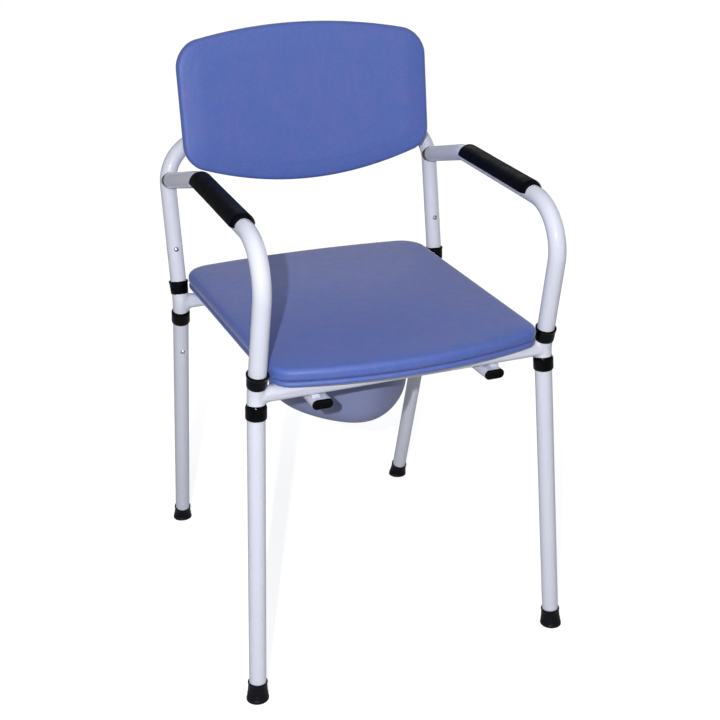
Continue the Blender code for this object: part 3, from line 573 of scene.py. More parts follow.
def rounded_path(points, bend_radii):
    """Points of a polyline whose inner corners are arcs of the given radii."""
    path = [points[0]]
    for before, corner, after, radius in zip(points, points[1:], points[2:], bend_radii):
        path += corner_arc(before, corner, after, radius)
    return path + [points[-1]]


def sweep_rings(path, section, side_hint=X_AXIS):
    """Rings of a flat section of (side, up) points, square to each point of a path."""
    rings = []
    for i, point in enumerate(path):
        along = (path[min(i + 1, len(path) - 1)] - path[max(i - 1, 0)]).normalized()
        side = (side_hint - along * side_hint.dot(along)).normalized()
        up = along.cross(side)
        rings.append([point + side * a + up * b for a, b in section])
    return rings


def tube(path, outer, inner=0.0, side_hint=X_AXIS):
    """A rod, or with an inner radius an open tube, along a path."""
    rings = sweep_rings(path, circle(outer), side_hint)
    if not inner:
        return skin(rings)
    return skin(rings + sweep_rings(path, circle(inner), side_hint)[::-1], closed=True)


def drill(origin, way, radius, reach):
    """A rod that reaches as far both ways from its origin, for cutting holes."""
    profile = [(0, -reach), (radius, -reach), (radius, reach), (0, reach)]
    return turned(profile, 24, stand(origin, way, Vector((0.3, 0.1, 1))))


# ---- corners and lines of the frame

def mirrored(vector, side):
    return Vector((vector.x * side, vector.y, vector.z))


class Corner:
    """Lines that meet at one corner joint."""

    def __init__(self, label):
        self.label = label
        self.front = label[0] == "f"
        self.side = -1 if label[1] == "l" else 1
        joint, foot = (FRONT_JOINT, FRONT_FOOT) if self.front else (REAR_JOINT, REAR_FOOT)
        self.joint, self.foot = mirrored(joint, self.side), mirrored(foot, self.side)
        self.down = (self.foot - self.joint).normalized()
        arm_way = (mirrored(ARM_FRONT, self.side) - self.joint).normalized()
        self.up = arm_way if self.front else UPRIGHT_WAY
        self.sleeve_down = FRONT_SLEEVE_DOWN if self.front else REAR_SLEEVE_DOWN
        self.button_way = Vector((0, 1 if self.front else -1, 0))

    def path(self, down, up):
        points = [self.joint + self.down * down, self.joint, self.joint + self.up * up]
        return rounded_path(points, [JOINT_BEND_R])

    def button_hole(self, axis, distance):
        way = (self.button_way - axis * self.button_way.dot(axis)).normalized()
        return drill(self.joint + axis * distance + way * TUBE_R, way, HOLE_R, 4)


def hoop_path():
    start = REAR_JOINT + UPRIGHT_WAY * (SLEEVE_UP + BUTT_GAP)
    rise = HOOP_TOP_Z - REAR_JOINT.z
    corner = REAR_JOINT + Vector((0, BACK_LEAN * rise, rise))
    points = [start, corner, mirrored(corner, -1), mirrored(start, -1)]
    return rounded_path(points, [HOOP_BEND_R, HOOP_BEND_R])


def arm_start_way(side):
    return (mirrored(ARM_ELBOW, side) - mirrored(ARM_REAR, side)).normalized()


def upright_at_arm(side):
    way = arm_start_way(1)
    upright_y = REAR_JOINT.y + BACK_LEAN * (ARM_REAR.z - REAR_JOINT.z)
    reach = (upright_y - ARM_REAR.y) / (BACK_LEAN * way.z - way.y)
    return mirrored(ARM_REAR - way * reach, side)


def back_screw_at(side):
    upright_y = REAR_JOINT.y + BACK_LEAN * (HOOP_TOP_Z - REAR_JOINT.z)
    return Vector((BACK_SCREW_X * side, upright_y, HOOP_TOP_Z))


# ---- tubes

def weld_fillet(rail_end, inward, sleeve_axis):
    """A hollow fillet, faintly rippled, where a cross tube runs into the side of a sleeve."""
    up = (Z_AXIS - inward * inward.z).normalized()
    across = inward.cross(up)
    step = inward - sleeve_axis * inward.dot(sleeve_axis)
    rings = []
    for k in range(WELD_STEPS):
        angle = 2 * pi * k / WELD_STEPS
        radial = across * (RAIL_R * cos(angle)) + up * (RAIL_R * sin(angle))
        flat = radial - sleeve_axis * radial.dot(sleeve_axis)
        a, b, c = step.dot(step), 2 * flat.dot(step), flat.dot(flat) - TUBE_R ** 2
        along = (-b + sqrt(b * b - 4 * a * c)) / (2 * a)
        root = rail_end + radial + inward * along
        outward = (flat + step * along).normalized()
        aside = (radial - outward * radial.dot(outward)).normalized()
        leg = WELD_LEG * (1 + WELD_RIPPLE * cos(WELD_RIPPLES * angle))
        radial.normalize()
        section = [root - (radial + outward) * WELD_SINK]
        for j in range(7):
            t = j / 6
            hollow = inward * (1 - t) ** 1.7 + aside * t ** 1.7
            section.append(root + hollow * leg + (radial * (1 - t) + outward * t) * WELD_PROUD)
        rings.append(section)
    return skin(rings, closed=True)


def build_cross_frames(white):
    for name in ("front_rail", "rear_rail"):
        corners = [Corner(name[0] + hand) for hand, _ in HANDS]
        span = [corner.joint for corner in corners]
        sleeves = [tube(corner.path(corner.sleeve_down, SLEEVE_UP), TUBE_R) for corner in corners]
        bores = [tube(corner.path(2 * TUBE_R + corner.sleeve_down, 2 * TUBE_R + SLEEVE_UP), TUBE_BORE_R)
                 for corner in corners]
        rail = tube(span, RAIL_R, side_hint=Z_AXIS)
        rail_bore = tube(span, RAIL_BORE_R, side_hint=Z_AXIS)
        bm = carve(sleeves[0], cuts=(*bores, rail_bore), joins=(sleeves[1], rail))
        add_piece(name + "_weldment", bm, white, name)
        for corner in corners:
            axis = (corner.up - corner.down).normalized()
            bead = weld_fillet(corner.joint, -X_AXIS * corner.side, axis)
            add_piece("weld_" + corner.label, bead, white, sharp_degrees=80)


def build_legs(white):
    for label in CORNERS:
        corner = Corner(label)
        ends = [corner.joint + corner.down * (corner.sleeve_down + BUTT_GAP),
                corner.foot - corner.down * (FOOT_SOLE + 0.5)]
        bm = carve(tube(ends, TUBE_R, TUBE_BORE_R), cuts=[corner.button_hole(corner.down, LEG_BUTTON_AT)])
        add_piece("leg_tube_" + label, bm, white, "leg_" + label)


def build_hoop(white):
    cuts = [Corner(label).button_hole(UPRIGHT_WAY, UPPER_BUTTON_AT) for label in ("rl", "rr")]
    for _, side in HANDS:
        cuts.append(drill(upright_at_arm(side), arm_start_way(side), ARM_BOLT_HOLE_R, 3 * TUBE_R))
        cuts.append(drill(back_screw_at(side), Y_AXIS, BACK_SCREW_HOLE_R, 2 * TUBE_R))
    bm = carve(tube(hoop_path(), TUBE_R, TUBE_BORE_R, Y_AXIS), cuts=cuts)
    add_piece("hoop_tube", bm, white, "back_hoop")


def build_arms(white):
    for name, side in HANDS:
        corner = Corner("f" + name)
        start = upright_at_arm(side) + arm_start_way(side) * (TUBE_R + SADDLE_THICK)
        end = corner.joint + corner.up * (SLEEVE_UP + BUTT_GAP)
        points = [start, mirrored(ARM_ELBOW, side), mirrored(ARM_FRONT, side), end]
        path = rounded_path(points, [ELBOW_BEND_R, FRONT_BEND_R])
        bm = carve(tube(path, TUBE_R, TUBE_BORE_R), cuts=[corner.button_hole(corner.up, UPPER_BUTTON_AT)])
        add_piece("arm_bend_" + name, bm, white, "arm_tube_" + name)


def rail_outline(growth, steps=16):
    """Outline of a pan rail's oval tube, grown by a little, as (across, up) points."""
    radius = PAN_RAIL_HALF_HEIGHT + growth
    straight = PAN_RAIL_HALF_WIDTH - PAN_RAIL_HALF_HEIGHT
    points = []
    for centre, start in ((straight, -pi / 2), (-straight, pi / 2)):
        for k in range(steps + 1):
            angle = start + pi * k / steps
            points.append((centre + radius * cos(angle), radius * sin(angle)))
    return points


def rail_prism(levels, side):
    """A solid along a pan rail through oval outlines, each given as (growth, y)."""
    x, z = PAN_RAIL_X * side, PAN_RAIL_Z
    return skin([[Vector((x + a, y, z + b)) for a, b in rail_outline(growth)] for growth, y in levels])


def rounded_box(centre, size, radius):
    bm = bmesh.new()
    bmesh.ops.create_cube(bm, size=1.0, matrix=Matrix.Translation(centre) @ Matrix.Diagonal((*size, 1)))
    bmesh.ops.bevel(bm, geom=bm.edges[:], offset=radius, segments=3, affect="EDGES", profile=0.5)
    return bm


def build_pan_rail(white, name, side):
    """An oval tube below the cross tubes, hung from each by a short square stub."""
    stubs, cross_tubes = [], []
    for joint in (FRONT_JOINT, REAR_JOINT):
        low = PAN_RAIL_Z + PAN_RAIL_HALF_HEIGHT - 1.0
        high = joint.z - RAIL_R + 1.2
        centre = Vector((STUB_X * side, joint.y, (low + high) / 2))
        stubs.append(rounded_box(centre, (STUB_WIDTH, STUB_DEPTH, high - low), 0.8))
        middle = Vector((0, joint.y, joint.z))
        reach = X_AXIS * CROSS_TUBE_HALF_LENGTH
        cross_tubes.append(tube([middle - reach, middle + reach], RAIL_R + 0.05, side_hint=Z_AXIS))
    bore = rail_prism([(-PAN_RAIL_WALL, PAN_RAIL_FRONT_Y - 5), (-PAN_RAIL_WALL, PAN_RAIL_REAR_Y + 5)], side)
    rail = rail_prism([(0, PAN_RAIL_FRONT_Y), (0, PAN_RAIL_REAR_Y)], side)
    bm = carve(rail, cuts=(bore, *cross_tubes), joins=stubs)
    add_piece("pan_runner_" + name, bm, white, "pan_rail_" + name)


def build_rail_plugs(black, name, side):
    """The two end plugs of a pan rail, each a shank inside the tube and a thin domed cap."""
    shank = -PAN_RAIL_WALL - 0.4
    steps = [(shank, -10), (shank, 0), (0.1, 0.2), (0.1, 0.7), (0.0, 1.4), (-0.4, 2.1), (-1.0, 2.5),
             (-1.8, 2.6), (-2.5, 2.2), (-3.3, 2.1)]
    for end, y, way in (("f", PAN_RAIL_FRONT_Y, -1), ("r", PAN_RAIL_REAR_Y, 1)):
        plug = rail_prism([(growth, y + out * way) for growth, out in steps], side)
        label = end + name
        add_piece("rail_plug_" + label, plug, black, "rail_cap_" + label)


# ---- collars, feet, saddles and fasteners

def lower_collar_wall(near, far):
    """(growth, distance) points of a wall with a cone at the joint's end and a shallow waist."""
    return [(-1.55, near + 0.1), (-0.82, near + 1.8), (-0.1, near + 3.5), (0.15, near + 4.5),
            (0.25, near + 6), (0.1, (near + far) / 2), (0.25, far - 3.4), (0.1, far - 2.2),
            (-0.5, far - 0.9), (-1.2, far - 0.2), (-1.6, far)]


def upper_collar_wall(near, far):
    """(growth, distance) points of a wall that flares away from the joint to a rolled rim."""
    wall = [(-1.3, near), (-0.9, near + 0.5)]
    wall += [(-0.75 + t, near + t * (far - near)) for t in (0.15, 0.35, 0.55, 0.72)]
    return wall + [(0.1, far - 4.4), (0.55, far - 3.6), (0.85, far - 0.9), (0.75, far - 0.3), (0.4, far)]


def build_collars(black):
    for label in CORNERS:
        corner = Corner(label)
        lower_ends = FRONT_LOWER_COLLAR if corner.front else REAR_LOWER_COLLAR
        for kind, way, ends, wall in (("lower", corner.down, lower_ends, lower_collar_wall),
                                      ("upper", corner.up, UPPER_COLLAR, upper_collar_wall)):
            profile = [(COLLAR_R + growth, distance) for growth, distance in wall(*ends)]
            profile = [(COLLAR_BORE_R, ends[0]), *profile, (COLLAR_BORE_R, ends[1])]
            name = kind + "_" + label
            bm = turned(profile, 56, stand(corner.joint, way))
            add_piece("bush_" + name, bm, black, "collar_" + name, 50)


def foot_profile():
    """A tapered ferrule with three grooves and a rolled rim, as (radius, height along the leg)."""
    base = ((2.2, -9), (0.7, -6.5), (0, -2.5), (0, 2.6))
    profile = [(0, -9)] + [(FOOT_BASE_R - inset, height) for inset, height in base]
    for low in (4.0, 6.6, 9.2):
        wall = FOOT_BASE_R - (low + 4) * 0.085
        profile += [(wall, low), (wall - 0.45, low + 0.4), (wall - 0.5, low + 0.9), (wall - 0.1, low + 1.3)]
    for t in (0.0, 0.25, 0.5, 0.75, 1.0):
        profile.append((14.75 - 0.95 * t, 12 + t * (FOOT_HEIGHT - 16)))
    for grown, drop in ((0.25, 3.2), (0.45, 2), (0.3, 0.8), (-0.3, 0.1), (-0.9, 0)):
        profile.append((FOOT_RIM_R + grown, FOOT_HEIGHT - drop))
    return profile + [(FOOT_BORE_R, FOOT_HEIGHT - 0.5), (FOOT_BORE_R, FOOT_SOLE), (0, FOOT_SOLE)]


def build_feet(rubber):
    """Ferrules along the legs, worn flat where they meet the floor."""
    for label in CORNERS:
        corner = Corner(label)
        bm = turned(foot_profile(), 56, stand(corner.foot, -corner.down))
        for vertex in bm.verts:
            vertex.co.z = max(vertex.co.z, 0.0)
        bmesh.ops.remove_doubles(bm, verts=bm.verts, dist=0.01)
        add_piece("ferrule_" + label, bm, rubber, "foot_" + label, 40)


def build_saddles(black):
    near = TUBE_R + SADDLE_THICK - 0.3
    profile = [(0, 4), (TUBE_R - 0.3, 4), (TUBE_R + 0.2, 5), (TUBE_R + 0.2, near - 0.5), (TUBE_R - 0.2, near),
               (SADDLE_PLUG_R, near), (SADDLE_PLUG_R, near + SADDLE_PLUG), (0, near + SADDLE_PLUG)]
    for name, side in HANDS:
        origin, way = upright_at_arm(side), arm_start_way(side)
        solid = turned(profile, 48, stand(origin, way, X_AXIS))
        upright = tube(hoop_path(), TUBE_R + 0.15, side_hint=Y_AXIS)
        bm = carve(solid, cuts=(upright, drill(origin, way, ARM_BOLT_HOLE_R, 40)))
        add_piece("arm_seat_" + name, bm, black, "arm_saddle_" + name)


def socket_screw(origin, way, head_r, head_height, shank_r, length, key_r):
    """A button head with a hexagon socket; way points out of the head."""
    profile = [(0, -length), (shank_r, -length), (shank_r, -0.2), (head_r - 0.3, 0), (head_r, 0.3)]
    for k in range(1, 7):
        angle = pi / 2 * k / 7
        profile.append((head_r * cos(angle) ** 0.8, 0.3 + (head_height - 0.3) * sin(angle)))
    profile.append((0, head_height))
    matrix = stand(origin, way, Vector((0.2, 0.1, 1)))
    key = turned([(0, 0.8), (key_r, 0.8), (key_r, head_height + 2), (0, head_height + 2)], 6, matrix)
    return carve(turned(profile, 40, matrix), cuts=[key])


def build_fasteners(zinc):
    for name, side in HANDS:
        way = -arm_start_way(side)
        bolt = socket_screw(upright_at_arm(side) + way * (TUBE_R + 0.3), way, head_r=6.0, head_height=3.6,
                            shank_r=3.0, length=40, key_r=2.2)
        add_piece("arm_fixing_" + name, bolt, zinc, "arm_bolt_" + name)
        screw = socket_screw(back_screw_at(side) + Y_AXIS * (TUBE_R + 0.1), Y_AXIS, head_r=4.6,
                             head_height=2.6, shank_r=2.4, length=28, key_r=1.6)
        add_piece("back_fixing_" + name, screw, zinc, "back_screw_" + name)


# ---- outlines for the seat and back

def rounded_trapezoid(half_low, half_high, low, high, fillet_low, fillet_high):
    """Outline points of a trapezoid with round corners, anticlockwise."""
    corners = [Vector(p) for p in ((half_low, low), (half_high, high), (-half_high, high), (-half_low, low))]
    radii = (fillet_low, fillet_high, fillet_high, fillet_low)
    arcs = [corner_arc(corners[i - 1], corners[i], corners[(i + 1) % 4], radii[i], 12) for i in range(4)]
    outline = []
    for arc, following in zip(arcs, arcs[1:] + arcs[:1]):
        outline += arc
        outline += [arc[-1].lerp(following[0], k / 24) for k in range(1, 24)]
    return outline


def bow_outline(outline, half_width, low_bow, high_bow, low, high):
    """Push an outline's two level edges outwards into shallow curves."""
    middle = (low + high) / 2
    bowed = []
    for x, y in outline:
        crown = max(0.0, 1 - (x / half_width) ** 2)
        reach = (y - middle) / (high - middle)
        bowed.append(Vector((x, y + (high_bow if reach > 0 else low_bow) * reach * crown)))
    return bowed


def even_outline(outline, count):
    """The outline resampled to evenly spaced points."""
    closed = [*outline, outline[0]]
    lengths = [0.0]
    for start, end in zip(closed, closed[1:]):
        lengths.append(lengths[-1] + (end - start).length)
    points = []
    at = 0
    for k in range(count):
        wanted = lengths[-1] * k / count
        while lengths[at + 1] < wanted:
            at += 1
        t = (wanted - lengths[at]) / (lengths[at + 1] - lengths[at])
        points.append(closed[at].lerp(closed[at + 1], t))
    return points


def inset_outline(outline, distance):
    """The outline moved inwards by a distance all round."""
    moved = []
    for i, point in enumerate(outline):
        along = outline[(i + 1) % len(outline)] - outline[i - 1]
        moved.append(point + Vector((-along.y, along.x)).normalized() * distance)
    return moved


def quarter_round(radius, steps):
    """(inset, drop) points over a rounded edge, from its side to its face."""
    angles = [pi / 2 * k / steps for k in range(steps + 1)]
    return [(radius * (1 - cos(angle)), radius * (1 - sin(angle))) for angle in angles]


def slab(outline, edges, shrink_low, shrink_high, to_space):
    """A closed slab. edges are (inset, height) from the low face up the side to the high face.

    shrink_low and shrink_high are lists of (scale, height) that carry the two faces to their middles.
    """
    centre = sum(outline, Vector((0, 0))) / len(outline)
    low_rim = inset_outline(outline, edges[0][0])
    high_rim = inset_outline(outline, edges[-1][0])
    levels = [([centre + (p - centre) * s for p in low_rim], h) for s, h in reversed(shrink_low)]
    levels += [(inset_outline(outline, inset), h) for inset, h in edges]
    levels += [([centre + (p - centre) * s for p in high_rim], h) for s, h in shrink_high]
    bm = bmesh.new()
    rings = [[bm.verts.new(to_space(p.x, p.y, h)) for p in points] for points, h in levels]
    for lower, upper in zip(rings, rings[1:]):
        bridge(bm, lower, upper)
    for end in (0, -1):
        fan(bm, bm.verts.new(to_space(centre.x, centre.y, levels[end][1])), rings[end])
    return bm


def feathered(mesh, moves, pinned, rounds=90):
    """The moves averaged over neighbours again and again, so they fade out towards the pinned rim."""
    moves = np.array(moves)
    edges = np.array([edge.vertices[:] for edge in mesh.edges])
    degree = np.bincount(edges.ravel(), minlength=len(moves))[:, None]
    for _ in range(rounds):
        total = np.zeros_like(moves)
        np.add.at(total, edges[:, 0], moves[edges[:, 1]])
        np.add.at(total, edges[:, 1], moves[edges[:, 0]])
        moves = total / degree
        moves[pinned] = 0.0
    return moves


def swell(piece, is_free, cap_mm, frames=20):
    """Inflate a piece's free vertices by cloth simulation, limit how far they move and keep the result."""
    mesh = piece.data
    pinned = [v.index for v in mesh.vertices if not is_free(v.co / MM)]
    group = piece.vertex_groups.new(name="pinned")
    group.add(pinned, 1.0, "REPLACE")
    cloth = piece.modifiers.new("cloth", "CLOTH")
    cloth.settings.vertex_group_mass = group.name
    cloth.settings.use_pressure = True
    cloth.settings.uniform_pressure_force = SWELL_PRESSURE
    cloth.settings.effector_weights.gravity = 0.0
    cloth.settings.tension_stiffness = 12.0
    cloth.settings.compression_stiffness = 12.0
    cloth.settings.bending_stiffness = 2.0
    cloth.point_cache.frame_end = frames
    scene = bpy.context.scene
    for number in range(1, frames + 1):
        scene.frame_set(number)
    depsgraph = bpy.context.evaluated_depsgraph_get()
    settled = [v.co.copy() for v in piece.evaluated_get(depsgraph).data.vertices]
    piece.modifiers.remove(cloth)
    piece.vertex_groups.remove(group)
    moves = [there - vertex.co for vertex, there in zip(mesh.vertices, settled)]
    moves = [move * min(1.0, cap_mm * MM / max(move.length, 1e-9)) for move in moves]
    for vertex, move in zip(mesh.vertices, feathered(mesh, moves, pinned)):
        vertex.co += Vector(move)
    scene.frame_set(1)


# ---- seat

def seat_outline():
    plain = rounded_trapezoid(SEAT_FRONT_HALF_WIDTH, SEAT_REAR_HALF_WIDTH, SEAT_FRONT_Y, SEAT_REAR_Y,
                              SEAT_FRONT_FILLET, SEAT_REAR_FILLET)
    bowed = bow_outline(plain, SEAT_REAR_HALF_WIDTH, SEAT_FRONT_BOW, SEAT_REAR_BOW, SEAT_FRONT_Y, SEAT_REAR_Y)
    return even_outline(bowed, SEAT_SIDES)


def seat_space(x, y, height):
    """From the seat's own tilted plane, which lies on the cross tubes' clips, to the frame."""
    rise = RAIL_R + 0.3 + SEAT_LIFT
    tilt = atan2(REAR_JOINT.z - FRONT_JOINT.z, REAR_JOINT.y - FRONT_JOINT.y)
    middle_z = FRONT_JOINT.z + rise - FRONT_JOINT.y * tan(tilt)
    return Vector((x, y * cos(tilt) - height * sin(tilt),
                   middle_z + y * sin(tilt) + height * cos(tilt)))


def aperture_point(towards, growth):
    """The point of the ring's oval aperture, grown outwards, that lies towards a flat point."""
    angle = atan2((towards.y - PAN_Y) / APERTURE_RY, towards.x / APERTURE_RX)
    rx, ry = APERTURE_RX + growth, APERTURE_RY + growth
    return Vector((rx * cos(angle), PAN_Y + ry * sin(angle)))


def build_seat_ring(blue):
    """The hygiene ring: a slab with round edges and an oval aperture."""
    outline = seat_outline()
    thick = SEAT_RING_THICK
    edges = quarter_round(SEAT_RING_LOW_EDGE, 5)[::-1]
    edges += [(inset, thick - drop) for inset, drop in quarter_round(SEAT_RING_HIGH_EDGE, 6)]
    low_rim = inset_outline(outline, edges[0][0])
    rim = inset_outline(outline, edges[-1][0])
    levels = [(inset_outline(outline, inset), height) for inset, height in edges]
    levels += [([p.lerp(aperture_point(p, 6), t) for p in rim], thick) for t in (0.3, 0.6, 0.85)]
    lip = [(6, thick), (4, thick - 0.3), (1.8, thick - 1.3), (0.5, thick - 2.6), (0, thick / 2), (0.5, 2.4),
           (1.8, 1.0), (4, 0.2), (6, 0)]
    levels += [([aperture_point(p, growth) for p in rim], height) for growth, height in lip]
    levels += [([p.lerp(aperture_point(p, 6), t) for p in low_rim], 0) for t in (0.85, 0.6, 0.3)]
    bm = skin([[seat_space(*p, height) for p in points] for points, height in levels], closed=True)
    ring = add_piece("hygiene_ring", bm, blue, "seat_ring", 60)


def build_seat_pad(blue):
    """The lift-off pad: round edges, a flat underside with a recess and a softly crowned top."""
    base = SEAT_RING_THICK + SEAT_PAD_GAP
    top = base + SEAT_PAD_THICK
    recess = base + SEAT_PAD_RECESS
    edges = [(inset, base + drop) for inset, drop in quarter_round(SEAT_PAD_LOW_EDGE, 7)[::-1]]
    edges += [(inset, top - drop) for inset, drop in quarter_round(SEAT_PAD_HIGH_EDGE, 8)]
    edges += [(9.5, top + 0.25), (13.5, top + 0.5), (19.0, top + 0.75)]
    inward = [0.06 * k for k in range(1, 17)]
    crown = [(1 - t, top + 0.75 + SEAT_PAD_CROWN * sin(pi / 2 * t)) for t in inward]
    underside = [(0.9, base), (0.74, base), (0.72, base + 0.6), (0.70, recess - 0.4), (0.68, recess),
                 (0.35, recess)]
    bm = slab(seat_outline(), edges, underside, crown, seat_space)
    pad = add_piece("seat_cushion", bm, blue, "seat_pad", 60, body="seat_pad")
    slope = (REAR_JOINT.z - FRONT_JOINT.z) / (REAR_JOINT.y - FRONT_JOINT.y)
    free_above = seat_space(0, 0, top - 0.8).z
    swell(pad, lambda point: point.z - point.y * slope > free_above, SEAT_PAD_SWELL)


# ---- backrest

def back_outline():
    plain = rounded_trapezoid(BACK_HALF_WIDTH, BACK_HALF_WIDTH, BACK_BOTTOM_CORNER_Z, BACK_TOP_CORNER_Z,
                              BACK_BOTTOM_FILLET, BACK_TOP_FILLET)
    bowed = bow_outline(plain, BACK_HALF_WIDTH, BACK_BOTTOM_BOW, BACK_TOP_BOW,
                        BACK_BOTTOM_CORNER_Z, BACK_TOP_CORNER_Z)
    return even_outline(bowed, BACK_SIDES)


def back_space(x, z, depth):
    """The backrest's curved, tilted space: depth runs from the sitter's side to the back."""
    y = BACK_FACE_Y + BACK_TILT * (z - BACK_FACE_Z) - BACK_CURVE * (x / BACK_HALF_WIDTH) ** 2
    return Vector((x, y + depth, z))


def build_back_pad(blue):
    """The curved back cushion, whose broad soft shoulders run into a nearly square rear edge."""
    edges = []
    for k in range(15):
        t = (k / 14) ** 1.5
        edges.append((BACK_SHOULDER * (1 - t), BACK_SHOULDER_DEPTH * (1 - (1 - t ** 2.3) ** (1 / 2.3))))
    edges += [(inset, BACK_PAD_THICK - drop) for inset, drop in quarter_round(BACK_REAR_EDGE, 4)]
    front = [(1 - 0.07 * k, 0.0) for k in range(1, 14)]
    rear = [(1 - 0.12 * k, BACK_PAD_THICK) for k in range(1, 8)]
    bm = slab(back_outline(), edges, front, rear, back_space)
    pad = add_piece("back_cushion", bm, blue, "back_pad", 60)
    swell(pad, lambda point: point.y < back_space(point.x, point.z, 0.9).y, BACK_PAD_SWELL)


def board_boss(side, face_depth):
    """A boss from the board's rear face to the hoop's cross tube."""
    at = back_screw_at(side)
    face = back_space(at.x, at.z, face_depth).y
    meet = at.y - TUBE_R + 0.6
    side_end = meet - 0.8
    profile = [(0, face), (BACK_BOSS_R, face), (BACK_BOSS_R, side_end), (BACK_BOSS_R - 0.8, meet), (0, meet)]
    return turned(profile, 40, stand(Vector((at.x, 0, at.z)), Y_AXIS, Vector((0.1, 0, 1))))


def build_back_board(board_finish):
    """The panel behind the cushion, with a raised rim and two bosses cut to fit the cross tube."""
    near = BACK_PAD_THICK + BACK_BOARD_GAP
    far = near + BACK_BOARD_THICK
    rim = [(0.6, near), (0, near + 0.6), (0, far - 2.0), (0.5, far - 0.7), (1.6, far), (7, far),
           (8.2, far - 0.8), (9.5, far - 1.6)]
    edges = [(BACK_BOARD_INSET + inset, depth) for inset, depth in rim]
    near_face = [(1 - 0.12 * k, near) for k in range(1, 8)]
    far_face = [(1 - 0.09 * k, far - 1.6) for k in range(1, 10)]
    panel = slab(back_outline(), edges, near_face, far_face, back_space)
    bosses = [board_boss(side, near + 1) for _, side in HANDS]
    cross_bar = [Vector((x, back_screw_at(1).y, HOOP_TOP_Z)) for x in (-150, 150)]
    bm = carve(panel, joins=bosses, cuts=[tube(cross_bar, TUBE_R + 0.15, side_hint=Z_AXIS)])
    add_piece("back_panel", bm, board_finish, "back_board", 45)


# ---- arm pads

def pad_section(outer, steps=22):
    """A half shell's section as (side, up) points with round lips."""
    angles = [ARM_PAD_HALF_ANGLE * (2 * k / steps - 1) for k in range(steps + 1)]
    outside = [(outer * sin(angle), outer * cos(angle)) for angle in angles]
    inner = ARM_PAD_BORE_R
    inside = [(inner * sin(angle), inner * cos(angle)) for angle in reversed(angles)]
    middle, half_wall = (outer + inner) / 2, (outer - inner) / 2
    lip = []
    for k in range(1, 6):
        turn = pi * k / 6
        reach = middle + half_wall * cos(turn)
        angle = ARM_PAD_HALF_ANGLE + half_wall * 0.55 * sin(turn) / middle
        lip.append((reach * sin(angle), reach * cos(angle)))
    return outside + lip + inside + [(-side, up) for side, up in reversed(lip)]


def pad_stations(length):
    """(distance, radius) along an arm pad: a sloping shoulder at each end and a faint waist."""
    shoulder = ((0.0, 4.1), (0.5, 3.4), (2.0, 2.5), (5.0, 1.0), (6.2, 0.4), (7.4, 0.05), (9.5, 0.0))
    stations = [(at, ARM_PAD_R - drop) for at, drop in shoulder]
    for t in (0.15, 0.3, 0.45, 0.6, 0.75, 0.88):
        stations.append((length * t, ARM_PAD_R - 0.25 * sin(pi * t)))
    rear = ((7.0, 0.0), (3.5, 0.4), (1.2, 1.4), (0.2, 2.6), (0.0, 3.6))
    return stations + [(length - back, ARM_PAD_R - drop) for back, drop in rear]


def build_arm_pads(finish):
    """Half shells over the arm tubes."""
    low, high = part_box("arm_pad_l")
    front_y, rear_y = low.y / MM, high.y / MM
    for name, side in HANDS:
        elbow = mirrored(ARM_ELBOW, side)
        along = (mirrored(ARM_FRONT, side) - elbow).normalized()
        up = (Z_AXIS - along * along.z).normalized()
        aside = along.cross(up)
        rings = []
        for at, outer in pad_stations(rear_y - front_y):
            point = elbow + along * ((front_y + at - elbow.y) / along.y)
            rings.append([point + aside * a + up * b for a, b in pad_section(outer)])
        pad = add_piece("arm_rest_" + name, skin(rings), finish, "arm_pad_" + name, 55)


# ---- pan

def pan_outline(rx, ry, drop, taper=PAN_TAPER):
    """One level outline of the pan: an oval that narrows towards the front as taper grows."""
    points = []
    for k in range(PAN_SIDES):
        angle = 2 * pi * k / PAN_SIDES
        across = rx * cos(angle) * (1 + taper * sin(angle))
        points.append(Vector((across, PAN_Y + ry * sin(angle), PAN_TOP_Z - drop)))
    return points


def pan_wall(inset, steps=18):
    """The bowl's outside or inside, from the foot of its straight wall to its flat bottom."""
    depth = PAN_DEPTH - inset
    fillet = PAN_FILLET - inset
    outlines = []
    for k in range(steps + 1):
        angle = pi / 2 * k / steps
        across = inset + fillet * (1 - cos(angle))
        drop = depth - fillet * (1 - sin(angle))
        outlines.append(pan_outline(PAN_RX - across, PAN_RY - across, drop))
    return outlines


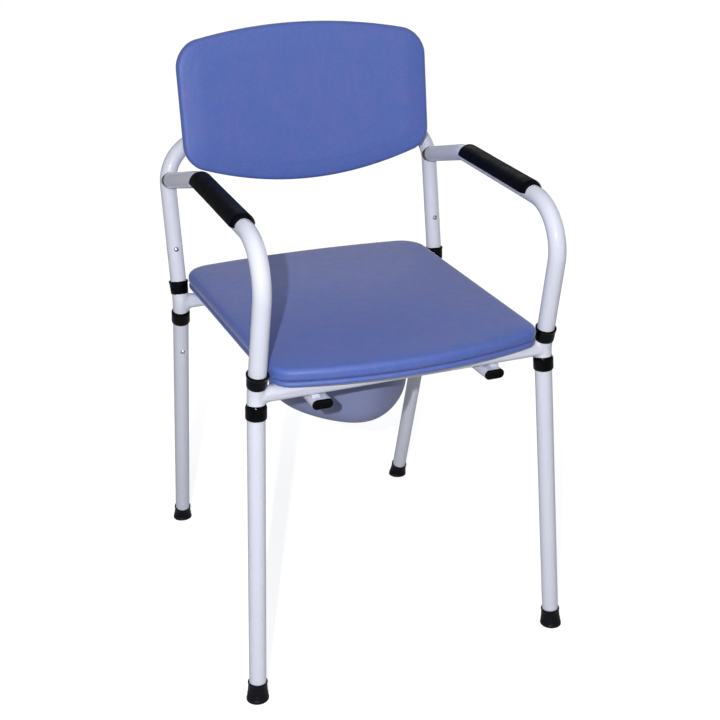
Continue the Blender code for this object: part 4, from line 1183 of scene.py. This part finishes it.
def build_pan(finish):
    """A deep pan with a rolled flange and a raised bead around its mouth."""
    outlines = pan_wall(PAN_WALL)[::-1]
    bead = ((PAN_WALL, 8.0), (PAN_WALL, 0.8), (PAN_WALL - 0.6, -0.6), (0.0, -1.2), (-2.6, -0.7), (-4.2, 0.0))
    flange = ((3, 0), (1.2, 0.3), (0.2, 1.1), (0, 2.2), (0.5, 2.9), (1.4, 3.0))
    below = ((-1.4, 3.0), (-0.3, 3.7), (0.0, 5.0))
    outlines += [pan_outline(PAN_RX - inset, PAN_RY - inset, drop) for inset, drop in bead]
    for inset, drop in flange:
        outlines.append(pan_outline(PAN_FLANGE_R - inset, PAN_FLANGE_R - inset, drop, taper=0))
    outlines += [pan_outline(PAN_RX - inset, PAN_RY - inset, drop) for inset, drop in below]
    add_piece("pan_shell", skin(outlines + pan_wall(0)), finish, "pan", 50, body="pan")


# ---- carried-over CAD nodes

def dress_nodes(finishes):
    """Give the CAD nodes that stay their finish and soften their edges.

    finishes maps the start of a node's name to a finish and an edge width in millimetres.
    """
    for node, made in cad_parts.items():
        for prefix, (finish, width) in finishes.items():
            if node.startswith(prefix):
                made.data.materials.clear()
                made.data.materials.append(finish.material)
                soften = made.modifiers.new("soften", "BEVEL")
                soften.width = width * MM
                soften.segments = 2
                soften.limit_method = "ANGLE"
                soften.angle_limit = radians(40)
                soften.harden_normals = True


make_camera()
make_lights()
make_floor()

white = powder_coat()
zinc = zinc_steel()
black = black_plastic()
blue = blue_skin()

build_seat_pad(blue)
build_back_pad(blue)
build_back_board(board_plastic())
build_seat_ring(blue)
build_arm_pads(arm_pad_skin())
build_cross_frames(white)
build_legs(white)
build_hoop(white)
build_arms(white)
for hand in HANDS:
    build_pan_rail(white, *hand)
    build_rail_plugs(black, *hand)
build_collars(black)
build_feet(foot_rubber())
build_saddles(black)
build_fasteners(zinc)
build_pan(pan_plastic())
dress_nodes({"spigot_": (zinc, 0.1), "leg_button_": (zinc, 0.25), "upper_button_": (zinc, 0.25),
             "seat_clip_": (black, 0.6)})
